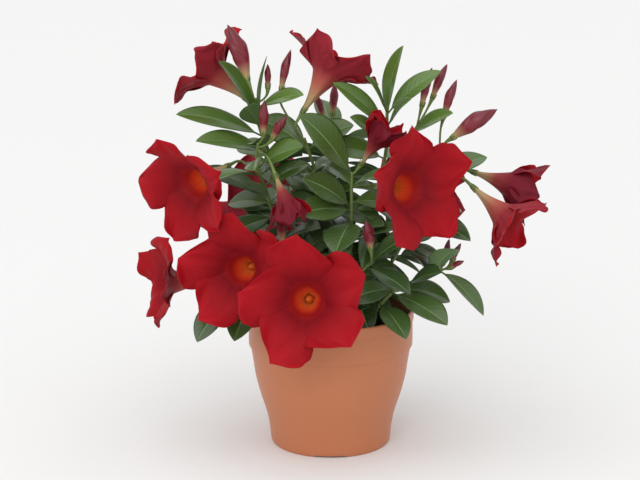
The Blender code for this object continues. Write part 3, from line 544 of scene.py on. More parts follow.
def leafList(lines):
    found = []
    for path, share, tip, width, roll in leafTable:
        foot = atFraction(lines[path], share) / mm
        way = np.array(tip, float) - foot
        sign = 1 if way[0] < 0 else -1
        pitch = math.degrees(math.atan2(way[2], math.hypot(way[0], way[1])))
        length = np.linalg.norm(way) * 1.04
        found.append((path, foot, math.atan2(way[1], way[0]), pitch, length, width / 2, -sign * roll, 26))
    draw = random.Random(6)
    for path, (first, last, pairs, length) in pairTable.items():
        turn = plant["pairStartTurn"] + draw.uniform(0, 90)
        for pair in range(pairs):
            share = first + (last - first) * pair / max(1, pairs - 1)
            foot = atFraction(lines[path], share) / mm
            for half in (0, 180):
                azimuth = math.radians(turn + half + draw.uniform(-14, 14))
                pitch = plant["pairPitch"] + plant["pairRise"] * share**2 + draw.uniform(-10, 10)
                size = length * draw.uniform(0.82, 1.08)
                halfWidth = size * plant["leafShape"] / 2
                roll = plant["pairRoll"] * outwardShare(foot, azimuth) + draw.uniform(-12, 12)
                found.append((path, foot, azimuth, pitch, size, halfWidth, roll, 34))
            turn += plant["pairTurn"]
    return found


# Materials

def newMaterial(name):
    made = bpy.data.materials.new(name)
    made.use_nodes = True
    tree = made.node_tree
    return made, tree, tree.nodes["Principled BSDF"]


def attributeNode(tree, name):
    node = tree.nodes.new("ShaderNodeAttribute")
    node.attribute_name = name
    return node.outputs["Fac"]


def setInputs(shader, **values):
    # an underscore stands for a space
    for name, value in values.items():
        shader.inputs[name.replace("_", " ")].default_value = value


def feed(tree, sockets, values):
    # sets each socket to its number or colour, or links it
    for socket, value in zip(sockets, values):
        if isinstance(value, (int, float)):
            socket.default_value = value
        elif isinstance(value, tuple):
            socket.default_value = (*value, 1.0)
        else:
            tree.links.new(value, socket)


def maths(tree, operation, *values):
    node = tree.nodes.new("ShaderNodeMath")
    node.operation = operation
    feed(tree, node.inputs, values)
    return node.outputs[0]


def ramp(tree, factor, stops):
    node = tree.nodes.new("ShaderNodeValToRGB")
    elements = node.color_ramp.elements
    while len(elements) < len(stops):
        elements.new(0.5)
    for element, (position, colour) in zip(elements, stops):
        element.position = position
        element.color = (*colour, 1.0)
    tree.links.new(factor, node.inputs["Fac"])
    return node.outputs["Color"]


def mixed(tree, factor, a, b, blend="MIX"):
    node = tree.nodes.new("ShaderNodeMix")
    node.data_type = "RGBA"
    node.blend_type = blend
    feed(tree, (node.inputs[0], node.inputs[6], node.inputs[7]), (factor, a, b))
    return node.outputs[2]


def noise(tree, scale, detail=3.0, stretch=None):
    node = tree.nodes.new("ShaderNodeTexNoise")
    node.inputs["Scale"].default_value = scale
    node.inputs["Detail"].default_value = detail
    if stretch is None:
        coordinates = tree.nodes.new("ShaderNodeTexCoord").outputs["Object"]
    else:
        combine = tree.nodes.new("ShaderNodeCombineXYZ")
        feed(tree, combine.inputs, stretch)
        coordinates = combine.outputs[0]
    tree.links.new(coordinates, node.inputs["Vector"])
    return node.outputs["Fac"]


def bump(tree, shader, height, strength, distance):
    node = tree.nodes.new("ShaderNodeBump")
    node.inputs["Strength"].default_value = strength
    node.inputs["Distance"].default_value = distance
    tree.links.new(height, node.inputs["Height"])
    tree.links.new(node.outputs["Normal"], shader.inputs["Normal"])


def petalMaterial(name, stops, roughness, sheen):
    # colour runs with "along": -1 at the tube's foot, 0 at the mouth, 1 at a lobe's tip
    made, tree, shader = newMaterial(name)
    along = attributeNode(tree, "along")
    across = attributeNode(tree, "across")
    colour = ramp(tree, maths(tree, "MULTIPLY_ADD", along, 0.5, 0.5), stops)
    stretch = maths(tree, "MULTIPLY", across, 16.0), maths(tree, "MULTIPLY", along, 2.2)
    lines = noise(tree, 1.0, 2.0, (*stretch, attributeNode(tree, "tone")))
    cloud = noise(tree, 90.0, 2.0)
    darker = mixed(tree, maths(tree, "MULTIPLY", lines, 0.75), colour, (0.55, 0.40, 0.5), "MULTIPLY")
    final = mixed(tree, maths(tree, "MULTIPLY", cloud, 0.5), darker, (0.75, 0.6, 0.7), "MULTIPLY")
    tree.links.new(final, shader.inputs["Base Color"])
    setInputs(shader, Roughness=roughness, Specular_IOR_Level=0.14,
              Sheen_Weight=sheen, Sheen_Tint=(1.0, 0.25, 0.3, 1.0),
              Subsurface_Weight=0.08, Subsurface_Radius=(0.004, 0.001, 0.001))
    bump(tree, shader, lines, 0.35, 0.0004)
    return made


def leafMaterial(name, dark, young, rib, roughness, coat):
    # colour runs from dark to young with "tone"; the midrib and side veins are paler
    made, tree, shader = newMaterial(name)
    along = attributeNode(tree, "along")
    across = maths(tree, "ABSOLUTE", attributeNode(tree, "across"))
    base = mixed(tree, attributeNode(tree, "tone"), dark, young)
    cloud = noise(tree, 60.0, 3.0)
    mottled = mixed(tree, maths(tree, "MULTIPLY", cloud, 0.5), base, (0.55, 0.62, 0.5), "MULTIPLY")
    slant = maths(tree, "SUBTRACT", maths(tree, "MULTIPLY", along, 9.0), maths(tree, "MULTIPLY", across, 2.4))
    comb = maths(tree, "ABSOLUTE", maths(tree, "SUBTRACT", maths(tree, "FRACT", slant), 0.5))
    vein = maths(tree, "LESS_THAN", comb, 0.045)
    veined = mixed(tree, maths(tree, "MULTIPLY", vein, 0.22), mottled, rib)
    midrib = maths(tree, "LESS_THAN", across, leaves["midribWidth"])
    final = mixed(tree, maths(tree, "MULTIPLY", midrib, 0.75), veined, rib)
    tree.links.new(final, shader.inputs["Base Color"])
    setInputs(shader, Roughness=roughness, Coat_Weight=coat, Coat_Roughness=0.22)
    bump(tree, shader, maths(tree, "ADD", comb, maths(tree, "MULTIPLY", cloud, 0.4)), 0.35, 0.0005)
    return made


def plainMaterial(name, colour, roughness, mottle=0.0, scale=40.0, bumpSize=0.0, specular=0.5):
    made, tree, shader = newMaterial(name)
    if mottle:
        cloud = noise(tree, scale, 4.0)
        darker = tuple(c * (1 - mottle) for c in colour)
        tree.links.new(mixed(tree, cloud, darker, colour), shader.inputs["Base Color"])
        if bumpSize:
            bump(tree, shader, cloud, 0.5, bumpSize)
    else:
        setInputs(shader, Base_Color=(*colour, 1.0))
    setInputs(shader, Roughness=roughness, Specular_IOR_Level=specular)
    return made


def budMaterial():
    # maroon, with painted shade in the groove under each furled petal's overlapping edge, and cream green at
    # the foot
    made, tree, shader = newMaterial("budSkin")
    along = attributeNode(tree, "along")
    colour = ramp(tree, along, buds["stops"])
    # the "across" attribute here holds the painted shade under the furled edges
    edge = attributeNode(tree, "across")
    final = mixed(tree, maths(tree, "MULTIPLY", edge, 0.65), colour, (0.25, 0.12, 0.18), "MULTIPLY")
    tree.links.new(final, shader.inputs["Base Color"])
    setInputs(shader, Roughness=0.38)
    return made


# Blooms
petals = {
    "fullness": 1.22,  # how much wider the fine lobes are than the solids
    "tipCurl": 7.0,  # mm, how far a tip bends up or down
    "tipTwist": 5.0,  # mm, how far a lobe's end turns on itself
    "ruffle": 5.2,  # mm, waves along the edges
    "recurve": 2.0,  # mm, how far the sides fall back
    "crease": 2.6,  # mm, fold down the middle
    "pleat": 1.4,  # mm, soft lengthwise folds
    "frill": 1.7,  # mm, short waves at the very edge
    "plainStyle": (1.0, 1.25, 1.0),  # share of the width, how pointed, share of the curl
    "styles": {"bloom_left": (0.80, 1.5, 1.4), "bloom_far_left_low": (0.95, 1.35, 1.4),
               "bloom_top_left": (0.82, 1.6, 1.4), "bloom_top": (0.82, 1.6, 1.4),
               "bloom_right": (0.92, 1.35, 1.1), "bloom_far_right": (0.95, 1.5, 1.3)},
    "anther": (0.85, 0.27, 0.045),
    "antherPlaces": (0.96, 0.74, 0.67, 0.60, 0.47, 0.37),  # depths in the tube, as shares of its length
    "antherRadii": (0.8, 0.8, 2.6, 3.2, 2.1, 0.4),  # mm
    "antherSides": 16,
    "furledFullness": 1.3,  # how much wider the lobes of a half open bloom are
    "swirl": 1.25,  # how far a tip leans round, as a share of the skew
    "furledSwirl": 2.2,
    "tubePower": 1.9,  # how late the tube widens towards its mouth
    "tubeFold": 0.07,  # depth of the tube's five soft folds, as a share of its radius
    "thickness": 0.6,  # mm
    "rows": 24,
    "columns": 20,
    "tubeRows": 16,
    # face colour from the tube's foot to a lobe's tip: orange deep in the throat, red lobes; the dark band
    # round the mouth (stops 0.47 to 0.68), fading towards the tips, is painted shade in the throat
    "faceStops": [(0.0, (0.85, 0.48, 0.10)), (0.28, (0.92, 0.25, 0.04)), (0.40, (0.78, 0.065, 0.014)),
                  (0.47, (0.42, 0.012, 0.010)), (0.55, (0.25, 0.002, 0.008)), (0.68, (0.36, 0.002, 0.008)),
                  (0.84, (0.44, 0.003, 0.010)), (1.0, (0.47, 0.004, 0.013))],
    "backStops": [(0.0, (0.45, 0.46, 0.16)), (0.16, (0.55, 0.42, 0.20)), (0.36, (0.50, 0.14, 0.09)),
                  (0.55, (0.36, 0.03, 0.04)), (1.0, (0.34, 0.016, 0.030))],
    "furledStops": [(0.0, (0.45, 0.46, 0.16)), (0.16, (0.50, 0.38, 0.18)), (0.34, (0.36, 0.06, 0.05)),
                    (0.55, (0.22, 0.012, 0.025)), (1.0, (0.20, 0.010, 0.025))],
}


def makeBloom(name, bloom, seed, materials):
    # tube: radius = foot + (mouth - foot) * (1 - back / length)^tubePower, with five soft folds;
    # the lobes grow out of its last ring, so that it all is one sheet
    mouth, facing, roll, scale, _, _ = bloom
    side, up, forward = facingFrame(facing, roll)
    middle = np.array(mouth, float)
    lobes, columns, rows, tubeRows = plant["lobes"], petals["columns"], petals["rows"], petals["tubeRows"]
    ring = lobes * columns
    depth = np.linspace(1, 0, tubeRows + 1)
    turn = 2 * math.pi * (np.arange(ring) - columns / 2) / ring
    foot = plant["funnel"][0][0]
    radius = (foot + (plant["mouthRadius"] - foot) * (1 - depth) ** petals["tubePower"]) * scale
    fold = 1 + petals["tubeFold"] * np.cos(lobes * turn)[None, :] * (4 * depth * (1 - depth))[:, None]
    spread = radius[:, None] * fold
    back = depth * plant["tubeLength"] * scale
    x = spread * np.cos(turn)
    y = spread * np.sin(turn)
    tube = middle + x[..., None] * side + y[..., None] * up - back[:, None, None] * forward
    wrapped = ((np.arange(ring) % columns) / columns * 2 - 1)[None, :] * np.ones((tubeRows + 1, 1))
    points = [tube.reshape(-1, 3) * mm]
    along = [np.repeat(-depth, ring)]
    across = [wrapped.ravel()]
    faces = [gridFaces(tubeRows, ring, True)]
    count = (tubeRows + 1) * ring
    mouthRow = tubeRows * ring
    s, t = np.meshgrid(np.arange(1, rows + 1) / rows, np.linspace(-1, 1, columns + 1), indexing="ij")
    style = petals["styles"].get(name, petals["plainStyle"])
    for index, shape in enumerate(bloomShapes(bloom, seed, True, style)):
        points.append(shape(s.ravel(), t.ravel()))
        along.append(s.ravel())
        across.append(t.ravel())
        first = mouthRow + (index * columns + np.arange(columns + 1)) % ring
        label = np.concatenate([[first], count + np.arange(rows * (columns + 1)).reshape(rows, columns + 1)])
        quads = np.stack([label[:-1, :-1], label[:-1, 1:], label[1:, 1:], label[1:, :-1]], axis=-1)
        faces.append(quads.reshape(-1, 4))
        count += rows * (columns + 1)
    piece = Piece()
    attributes = np.concatenate(along), np.concatenate(across), seed * 1.7
    piece.add(np.concatenate(points), np.concatenate(faces), *attributes)
    obj = piece.make(name + "_corolla", materials[:2], (name,))
    normals, centres = np.zeros((2, len(obj.data.polygons) * 3))
    obj.data.polygons.foreach_get("normal", normals)
    obj.data.polygons.foreach_get("center", centres)
    fromAxis = centres.reshape(-1, 3)[:ring] / mm - middle + forward * 30 * scale
    if (fromAxis * normals.reshape(-1, 3)[:ring]).sum() > 0:
        obj.data.flip_normals()  # the sheet's own faces are the throat and the fronts of the lobes
    # the anthers stand in the throat as one cone on a thin stalk
    spots = np.array(petals["antherPlaces"]) * plant["tubeLength"] * scale
    girths = np.array(petals["antherRadii"]) * scale
    smooth, thick = roundedLine((middle - spots[:, None] * forward) * mm, girths * mm, mm, 1)
    cone = Piece()
    cone.add(*closedTube(smooth, thick, petals["antherSides"]))
    cone.make(name + "_anthers", [materials[2]])
    wall = obj.modifiers.new("wall", "SOLIDIFY")
    wall.thickness = petals["thickness"] * mm
    wall.offset = 0.0
    wall.material_offset = 1
    wall.material_offset_rim = 0
    return obj


# Buds
buds = {
    "stops": [(0.0, (0.42, 0.46, 0.13)), (0.16, (0.40, 0.22, 0.12)), (0.34, (0.20, 0.012, 0.022)),
              (1.0, (0.13, 0.008, 0.018))],  # colour from foot to tip
    "overlap": 0.16,  # how far one furled petal's edge stands over the next
    "twist": 1.3,  # turns of the furl
    "furled": 3,  # petals' edges that show round it
    "climb": 0.9,  # share of a furled petal over which it climbs to its edge
    "bow": 0.03,  # how far its middle stands off the straight line, as a share of its length
    "rounding": 3,  # rows either side that its girth is averaged over
    "rows": 44,
    "columns": 60,
}


def makeBud(name, bud, material):
    # radius = girth(s) * (1 + overlap * saw), where saw climbs round each furled petal and drops at its edge
    line, girths = budLine(bud)
    way = line[-1] - line[0]
    length = np.linalg.norm(way)
    share = np.linspace(0, 1, buds["rows"])
    girth = np.interp(share, plant["budShares"], girths)
    reach = buds["rounding"]
    kernel = np.ones(2 * reach + 1) / (2 * reach + 1)
    girth = np.convolve(np.pad(girth, reach, mode="edge"), kernel, mode="valid")
    girth = girth * np.clip((1 - share) * 16, 0.06, 1) ** 0.5  # drawn in to a blunt point
    side, up, _ = facingFrame(way / length, 0)
    turn = roundTurn(buds["columns"])
    furled, climb = buds["furled"], buds["climb"]
    phase = (turn[None, :] * furled / (2 * math.pi) + buds["twist"] * furled * share[:, None] / 2) % 1
    saw = np.where(phase < climb, phase / climb, (1 - phase) / (1 - climb)) - 0.5
    fade = np.clip(share * 4 - 0.6, 0, 1)[:, None]  # no furl on the tube below
    radius = girth[:, None] * (1 + buds["overlap"] * saw * fade)
    bow = np.sin(math.pi * share) * buds["bow"] * length
    spine = line[0] + np.outer(share, way) + np.outer(bow, up)
    x, y = radius * np.cos(turn), radius * np.sin(turn)
    points = spine[:, None] + x[..., None] * side + y[..., None] * up
    first, last = (end.repeat(len(turn), 0)[None] for end in (line[:1], spine[-1:]))
    points = np.concatenate([first, points, last])
    along = np.concatenate([[0], share, [1]]).repeat(len(turn))
    # painted shade in the groove under each overlapping petal edge
    edge = np.clip(np.abs(phase - 0.93) * -14 + 1, 0, 1) * fade  # a dark line just past each edge
    edge = np.vstack([edge[:1], edge, edge[-1:]])
    piece = Piece()
    piece.add(points, gridFaces(len(share) + 1, len(turn), True), along, edge)
    return piece.make(name + "_furled", [material], (name,))


# Leafy stems
leaves = {
    "fillers": 70,  # small leaves that are tried inside the crown
    "fillerPaths": ["centre", "topCentre", "leftMid", "topLeft", "topRight", "right", "front", "backLeft",
                    "backRight", "back"],
    "fillerSeed": 21,
    "fillerPlace": (0.30, 0.93),  # along the path
    "fillerLength": (34, 46),  # mm
    "fillerPitch": (-25, 35),  # degrees
    "fillerHalf": 0.26,  # half width as a share of the length
    "fillerDroop": 30,  # degrees
    "oldStem": 110,  # mm, height up to which stems are brown
    "youngStem": 160,  # mm, how much higher they are fully green
    "oldLeaf": 170,  # mm, height up to which leaves are dark
    "youngLeaf": 150,  # mm, how much higher they are fully young
    "stemSides": 12,
    "stalkRadius": 0.75,  # mm
    "thickness": 0.5,  # mm
    "groove": 0.35,  # mm, midrib groove
    "quilting": 0.20,  # mm, swelling between side veins
    "midribWidth": 0.045,
    "rows": 34,
    "columns": 15,
    "dark": (0.034, 0.068, 0.018),
    "young": (0.140, 0.250, 0.030),
    "rib": (0.16, 0.28, 0.08),
    "under": (0.10, 0.17, 0.07),
    "underYoung": (0.17, 0.28, 0.08),
    "stemColours": [(0.055, 0.050, 0.018), (0.15, 0.22, 0.045), (0.15, 0.22, 0.05)],  # old, young, rib
}


def addLeaf(piece, form, tone):
    # a flattened tube: point = blade(s, t) + normal * (side * thickness / 2 - groove + quilting)
    shape = leafShape(*form, fine=True)
    x = np.linspace(1, -1, leaves["columns"] + 2)
    top = np.sign(x) * np.abs(x) ** 1.3
    t = np.concatenate([top, top[-2:0:-1]])
    side = np.sqrt(np.maximum(1 - t**2, 0)) * np.concatenate([np.ones(len(top)), -np.ones(len(top) - 2)])
    s = np.concatenate([[0, 0.03, 0.06], np.linspace(0.10, 1, leaves["rows"])])
    grid, across = np.meshgrid(s, t, indexing="ij")
    points, normal, half, blade = shape(grid.ravel(), across.ravel())
    wide = across.ravel()
    lens = np.tile(side, len(s))
    distance = np.abs(wide) * half
    body = np.clip(blade * 12, 0, 1)
    stalk = leaves["stalkRadius"] * (1 - body)
    upper = np.where(lens > 0, 1.0, 0.0)
    rib = np.exp(-((distance / 0.8) ** 2)) * body * (1 - blade)
    comb = np.cos(2 * math.pi * (blade * 9 - np.abs(wide) * 2.4)) * np.clip(1 - wide**2, 0, 1) * body
    offset = lens * (leaves["thickness"] / 2 * body + stalk)
    offset = offset - upper * leaves["groove"] * rib - (1 - upper) * 1.0 * rib
    offset = offset - leaves["quilting"] * comb * np.clip(distance / 2, 0, 1) * np.abs(lens)
    points = (points + normal * offset[:, None]) * mm
    columns = len(t)
    end = points.reshape(len(s), columns, 3)
    closed = np.concatenate([end[:1].mean(axis=1, keepdims=True).repeat(columns, 1), end])
    along = np.concatenate([np.zeros(columns), blade])
    wide = np.concatenate([np.zeros(columns), wide])
    faces = gridFaces(len(s), columns, True)
    under = (np.arange(columns) >= len(top) - 1)
    kinds = np.tile(np.where(under, 1, 0), len(s))
    piece.add(closed, faces, along, wide, tone, kinds)


def addSepals(piece, foot, facing, scale, spread):
    # five small pointed sepals: centre = foot + forward * length * s + radial * (radius + spread * s)
    side, up, forward = facingFrame(facing, 20)
    rows, columns = 8, 10
    s, u = np.meshgrid(np.linspace(0, 1, rows), roundTurn(columns), indexing="ij")
    half = 1.35 * scale * np.sin(math.pi * (0.18 + 0.82 * s)) ** 0.9
    for index in range(5):
        turn = 2 * math.pi * index / 5
        radial = math.cos(turn) * side + math.sin(turn) * up
        tangent = -math.sin(turn) * side + math.cos(turn) * up
        out = (1.9 + spread * s) + 0.35 * np.sin(u)
        spine = foot + (s * 6.5 * scale - 0.8)[..., None] * forward
        points = spine + out[..., None] * radial + (half * np.cos(u))[..., None] * tangent
        ends = [points[k:k + 1].mean(axis=1, keepdims=True).repeat(columns, 1) for k in (0, rows - 1)]
        points = np.concatenate([ends[0], points, ends[1]])
        piece.add(points * mm, gridFaces(rows + 1, columns, True), 0.6, 0.3, 0.8, 2)


def growLeaves():
    obstacles = [turnedObstacle(plant["potOutline"]), turnedObstacle(plant["soilOutline"])]
    for seed, bloom in enumerate(bloomTable.values()):
        obstacles += bloomObstacle(bloom, seed)
    for bud in budTable.values():
        line, radii = budLine(bud)
        obstacles.append(ringTube(line, radii, 6))
    lines = {name: stemLine(name) for name in pathTable}
    tubes = [(pathTable[name][0], *line) for name, line in lines.items()]
    for bloom in bloomTable.values():
        path, share = bloom[5]
        tubes.append((pathTable[path][0], *stalkLine(lines[path][0], share, bloomFoot(bloom), bloom[1], 14)))
    for bud in budTable.values():
        path, share = bud[3]
        tubes.append((pathTable[path][0], *stalkLine(lines[path][0], share, bud[0], budWay(bud), 9)))
    stems = {stem: [] for stem, _ in pathTable.values()}
    trees = {
        stem: searchTree([ringTube(line, radii, 6) for owner, line, radii in tubes if owner == stem])
        for stem in stems
    }
    allRound = searchTree(obstacles)
    fitted = []

    def place(path, *leaf):
        # keeps the leaf if some bend of it is clear of all else
        stem = pathTable[path][0]
        others = [allRound] + [tree for other, tree in trees.items() if other != stem]
        others += [whole for other, whole, _ in fitted if other != stem]
        own = [beyond for other, _, beyond in fitted if other == stem]
        found = fittedLeaf(*leaf, others, own)
        if found:
            fitted.append((stem, *found[1:]))
            stems[stem].append(found[0])

    for seed, leaf in enumerate(leafList({name: line for name, (line, _) in lines.items()})):
        place(*leaf, seed)
    # small leaves between the others, inside the crown
    draw = random.Random(leaves["fillerSeed"])
    for index in range(leaves["fillers"]):
        path = draw.choice(leaves["fillerPaths"])
        foot = atFraction(lines[path][0], draw.uniform(*leaves["fillerPlace"])) / mm
        azimuth = draw.uniform(0, 2 * math.pi)
        length = draw.uniform(*leaves["fillerLength"])
        roll = plant["pairRoll"] * outwardShare(foot, azimuth)
        pitch = draw.uniform(*leaves["fillerPitch"])
        half = length * leaves["fillerHalf"]
        place(path, foot, azimuth, pitch, length, half, roll, leaves["fillerDroop"], 400 + index)
    return stems, tubes


def makeStems(materials):
    stems, tubes = growLeaves()
    counted = 0
    for stem, forms in stems.items():
        piece = Piece()
        for owner, line, radii in tubes:
            if owner != stem:
                continue
            smooth, thick = roundedLine(line, radii)
            points, faces = closedTube(smooth, thick, leaves["stemSides"])
            youth = np.clip((points[:, 2] / mm - leaves["oldStem"]) / leaves["youngStem"], 0, 1)
            piece.add(points, faces, youth, 0.0, youth, 2)
        for form in forms:
            shade = random.Random(form[-1] + 50).uniform(0.0, 0.28)
            youth = np.clip((form[0][2] - leaves["oldLeaf"]) / leaves["youngLeaf"], 0, 1) ** 1.3
            addLeaf(piece, form, float(min(1.0, youth * 0.75 + shade)))
            counted += 1
        for name, flower in list(bloomTable.items()) + list(budTable.items()):
            isBloom = name in bloomTable
            if pathTable[(flower[5] if isBloom else flower[3])[0]][0] != stem:
                continue
            if isBloom:
                addSepals(piece, bloomFoot(flower), flower[1], flower[3] ** 0.5, 0.7)
            else:
                addSepals(piece, np.array(flower[0], float), budWay(flower), 0.75, 0.14 * flower[2])
        piece.make(stem + "_foliage", materials, (stem,))
    print("leaves:", counted)


# Pot
pot = {
    # radius and height of its walls
    "outer": [(69.0, 117), (69.7, 116.6), (70.1, 115.6), (70.1, 107.9), (69.1, 107.2), (69.2, 106.2),
              (69.3, 86.2), (68.7, 85.5), (67.7, 85.0), (65.6, 72), (63.8, 59), (60, 44), (54.4, 27),
              (52, 15), (50.8, 3), (50.2, 0.9), (49.4, 0)],
    "under": [(45, 0), (43.6, 0.7), (42.6, 2.6), (16.5, 2.6), (15, 0), (0, 0)],
    "inner": [(0, 5), (46.5, 5), (48.4, 6.5), (52.2, 27), (57.8, 44), (61.6, 59), (63.4, 72), (65.4, 85),
              (67, 95), (67.8, 115.8), (68.3, 117)],
    "steps": 144,
    "drains": 6,
    "drainReach": 30,  # mm from the axis
    "drainRadius": 4,  # mm
    "notches": 3,
    "notchSize": (14, 26, 3.2),  # mm: inwards, along the foot ring, height
    "notchReach": 47,  # mm from the axis
    "colour": (0.50, 0.168, 0.070),
}


def softened(profile, rounds=2):
    # each corner of a profile cut twice at a fifth of its sides
    line = np.array(profile, float)
    for _ in range(rounds):
        a = line[:-1] * 0.8 + line[1:] * 0.2
        b = line[:-1] * 0.2 + line[1:] * 0.8
        line = np.vstack([line[:1], np.stack([a, b], axis=1).reshape(-1, 2), line[-1:]])
    return line


def makeCutter(name, maker):
    bm = bmesh.new()
    maker(bm)
    mesh = bpy.data.meshes.new(name)
    bm.to_mesh(mesh)
    bm.free()
    return linked(name, mesh)


def cut(obj, cutters):
    for cutter in cutters:
        modifier = obj.modifiers.new("cut", "BOOLEAN")
        modifier.operation = "DIFFERENCE"
        modifier.solver = "EXACT"
        modifier.object = cutter
    bpy.context.view_layer.update()
    graph = bpy.context.evaluated_depsgraph_get()
    mesh = bpy.data.meshes.new_from_object(obj.evaluated_get(graph))
    obj.modifiers.clear()
    obj.data = mesh
    for cutter in cutters:
        bpy.data.objects.remove(cutter, do_unlink=True)


def makePot(material):
    outer = softened(pot["outer"], 1)
    profile = np.vstack([outer, pot["under"], pot["inner"], outer[:1]])
    points = turnedPoints(profile, roundTurn(pot["steps"]))
    piece = Piece()
    piece.add(points, gridFaces(len(profile) - 1, pot["steps"], True))
    obj = piece.make("pot_shell", [material], ("pot",))
    cutters = []
    radius = pot["drainRadius"] * mm
    for index in range(pot["drains"]):
        turn = 2 * math.pi * (index + 0.5) / pot["drains"]
        reach = pot["drainReach"] * mm
        spot = Matrix.Translation((reach * math.cos(turn), reach * math.sin(turn), 2.5 * mm))
        cutters.append(makeCutter(f"drain{index}", lambda bm, spot=spot: bmesh.ops.create_cone(
            bm, cap_ends=True, segments=32, radius1=radius, radius2=radius, depth=10 * mm, matrix=spot)))
    for index in range(pot["notches"]):
        turn = Matrix.Rotation(2 * math.pi * index / pot["notches"] - math.pi / 2, 4, "Z")
        size = Matrix.Diagonal([side * mm for side in pot["notchSize"]] + [1])
        spot = turn @ Matrix.Translation((pot["notchReach"] * mm, 0, 0)) @ size
        cutters.append(makeCutter(f"notch{index}", lambda bm, spot=spot: bmesh.ops.create_cube(
            bm, size=1.0, matrix=spot)))
    cut(obj, cutters)
    obj.data.set_sharp_from_angle(angle=math.radians(40))
    return obj


# Soil
soil = {
    "colour": (0.030, 0.020, 0.014),
    "crumbColour": (0.045, 0.030, 0.020),
    "reach": 66.4,  # mm, its radius at the top
    "waves": 26,
    "side": [(66.4, 99.5), (64.8, 85), (61, 59), (51.6, 27), (47.8, 5.3), (0, 5.3)],
    "lump": 1.5,  # mm
    "rings": 44,
    "steps": 120,
    "crumbs": 420,
}


def makeSoil(material, crumbMaterial):
    # height = top + sum of sine waves that run in different directions
    draw = np.random.default_rng(4)
    radius = soil["reach"]
    reach = np.linspace(0, radius, soil["rings"])
    turn = roundTurn(soil["steps"])
    r, a = np.meshgrid(reach, turn, indexing="ij")
    x, y = r * np.cos(a), r * np.sin(a)
    height = np.zeros_like(x)
    for _ in range(soil["waves"]):
        length = draw.uniform(3.5, 18)
        way = draw.uniform(0, 2 * math.pi)
        across = (x * math.cos(way) + y * math.sin(way)) * 2 * math.pi / length
        height += 0.07 * length**0.5 * np.sin(across + draw.uniform(0, 6))
    height = np.clip(height, -1.3, 1.3) * soil["lump"] / 1.5
    z = plant["soilTop"] - 0.4 + height * np.clip((radius - r) / 6, 0, 1)
    z = np.where(r > radius - 0.1, 99.5, z)
    top = np.stack([x, y, z], axis=-1)
    sides = turnedPoints(soil["side"][1:], turn) / mm
    points = np.concatenate([top, sides])
    piece = Piece()
    piece.add(points * mm, gridFaces(len(points) - 1, soil["steps"], True))
    # crumbs: small balls, each with its own bumps
    rows, columns = 6, 10
    ball = np.array([(i / rows, j / columns) for i in range(rows + 1) for j in range(columns)])
    polar, round_ = ball[:, 0] * math.pi, ball[:, 1] * 2 * math.pi
    form = np.stack([np.sin(polar) * np.cos(round_), np.sin(polar) * np.sin(round_), np.cos(polar)], axis=1)
    count = soil["crumbs"]
    where = np.sqrt(draw.uniform(0, 1, count)) * 63.5
    angle = draw.uniform(0, 2 * math.pi, count)
    size = draw.uniform(0.5, 1.0, count) ** 2 * 2.4
    stretch = draw.uniform(0.6, 1.3, (count, 1, 3)) * size[:, None, None]
    lumps = 1 + 0.28 * np.sin(form @ draw.uniform(-4, 4, (3, count)) + draw.uniform(0, 6, count)).T[..., None]
    balls = form[None] * lumps * stretch
    ringIndex = np.clip(np.round(where / radius * (soil["rings"] - 1)).astype(int), 0, soil["rings"] - 1)
    turnIndex = np.round(angle / (2 * math.pi) * soil["steps"]).astype(int) % soil["steps"]
    ground = z[ringIndex, turnIndex]
    centre = np.stack([where * np.cos(angle), where * np.sin(angle), ground + 0.15 * size], axis=1)
    crumbs = (balls + centre[:, None]) * mm
    faces = gridFaces(rows, columns, True)
    many = (faces[None] + (np.arange(count) * len(form))[:, None, None]).reshape(-1, 4)
    piece.add(crumbs, many, kind=1)
    return piece.make("soil_peat_top", [material, crumbMaterial], ("soil",))


# Stage, camera and lights
view = {
    "aim": (-0.009, 0.0, 0.175),
    "distance": 1.80,  # m
    "elevation": 14.3,  # degrees
    "lens": 121.0,
    "floor": (0.82, 0.812, 0.797),
    "world": (0.97, 0.98, 1.0),
    "worldStrength": 0.88,
    "sunStrength": 0.95,
    "sunSpread": 85,  # degrees
    "sunFrom": (-0.25, -0.60, 1.1),
    "frontPlace": (-0.5, -1.9, 1.1),
    "frontTarget": (0, 0, 0.2),
    "frontSize": 0.9,
    "frontPower": 7,
}


def makeStage():
    mesh = bpy.data.meshes.new("floor")
    mesh.from_pydata([(-9, -6, 0), (9, -6, 0), (9, 14, 0), (-9, 14, 0)], [], [(0, 1, 2, 3)])
    mesh.materials.append(plainMaterial("floorPaper", view["floor"], 0.9, specular=0.1))
    linked("floor", mesh)


def aimed(name, data, place, target):
    # a camera or light at place, with its -Z towards target
    obj = linked(name, data)
    obj.location = place
    obj.rotation_euler = (Vector(place) - Vector(target)).to_track_quat("Z", "Y").to_euler()
    return obj


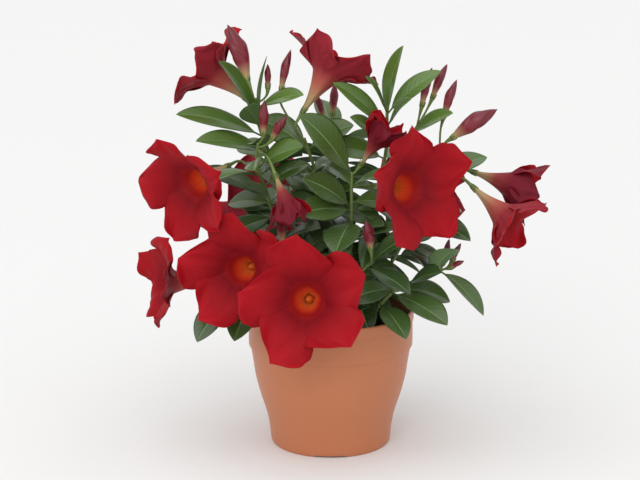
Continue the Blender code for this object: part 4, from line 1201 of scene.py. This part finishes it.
def makeView():
    camera = bpy.data.cameras.new("camera")
    camera.lens = view["lens"]
    camera.sensor_width = 36.0
    camera.clip_end = 60
    tilt = math.radians(view["elevation"])
    aim = Vector(view["aim"])
    place = aim + Vector((0, -math.cos(tilt), math.sin(tilt))) * view["distance"]
    bpy.context.scene.camera = aimed("camera", camera, place, aim)
    world = bpy.data.worlds.new("studio")
    world.use_nodes = True
    back = world.node_tree.nodes["Background"]
    back.inputs["Color"].default_value = (*view["world"], 1)
    back.inputs["Strength"].default_value = view["worldStrength"]
    bpy.context.scene.world = world
    bpy.context.scene.view_settings.view_transform = "Standard"
    sun = bpy.data.lights.new("keySun", "SUN")
    sun.energy = view["sunStrength"]
    sun.angle = math.radians(view["sunSpread"])
    aimed("keySun", sun, view["sunFrom"], (0, 0, 0))
    front = bpy.data.lights.new("front", "AREA")
    front.size = view["frontSize"]
    front.energy = view["frontPower"]
    aimed("front", front, view["frontPlace"], view["frontTarget"])


def main():
    print("stage: camera, floor and lights")
    makeStage()
    makeView()
    print("stage: blooms")
    petalFace = petalMaterial("petalFace", petals["faceStops"], 0.62, 0.04)
    petalBack = petalMaterial("petalBack", petals["backStops"], 0.60, 0.06)
    furledBack = petalMaterial("furledBack", petals["furledStops"], 0.55, 0.05)
    antherSkin = plainMaterial("antherSkin", petals["anther"], 0.6)
    for seed, (name, bloom) in enumerate(bloomTable.items()):
        back = petalBack if isOpen(bloom) else furledBack
        makeBloom(name, bloom, seed, [petalFace, back, antherSkin])
    print("stage: buds")
    budSkin = budMaterial()
    for name, bud in budTable.items():
        makeBud(name, bud, budSkin)
    print("stage: leafy stems")
    leafTop = leafMaterial("leafTop", leaves["dark"], leaves["young"], leaves["rib"], 0.34, 0.35)
    leafUnder = leafMaterial("leafUnder", leaves["under"], leaves["underYoung"], leaves["rib"], 0.55, 0.0)
    stemSkin = leafMaterial("stemSkin", *leaves["stemColours"], 0.5, 0.0)
    makeStems([leafTop, leafUnder, stemSkin])
    print("stage: pot and soil")
    makePot(plainMaterial("potPlastic", pot["colour"], 0.42, 0.06, 30.0, 0.00005))
    makeSoil(plainMaterial("peat", soil["colour"], 0.95, 0.5, 300.0, 0.001, 0.2),
             plainMaterial("crumb", soil["crumbColour"], 0.95, 0.6, 500.0, 0.0006, 0.2))


main()
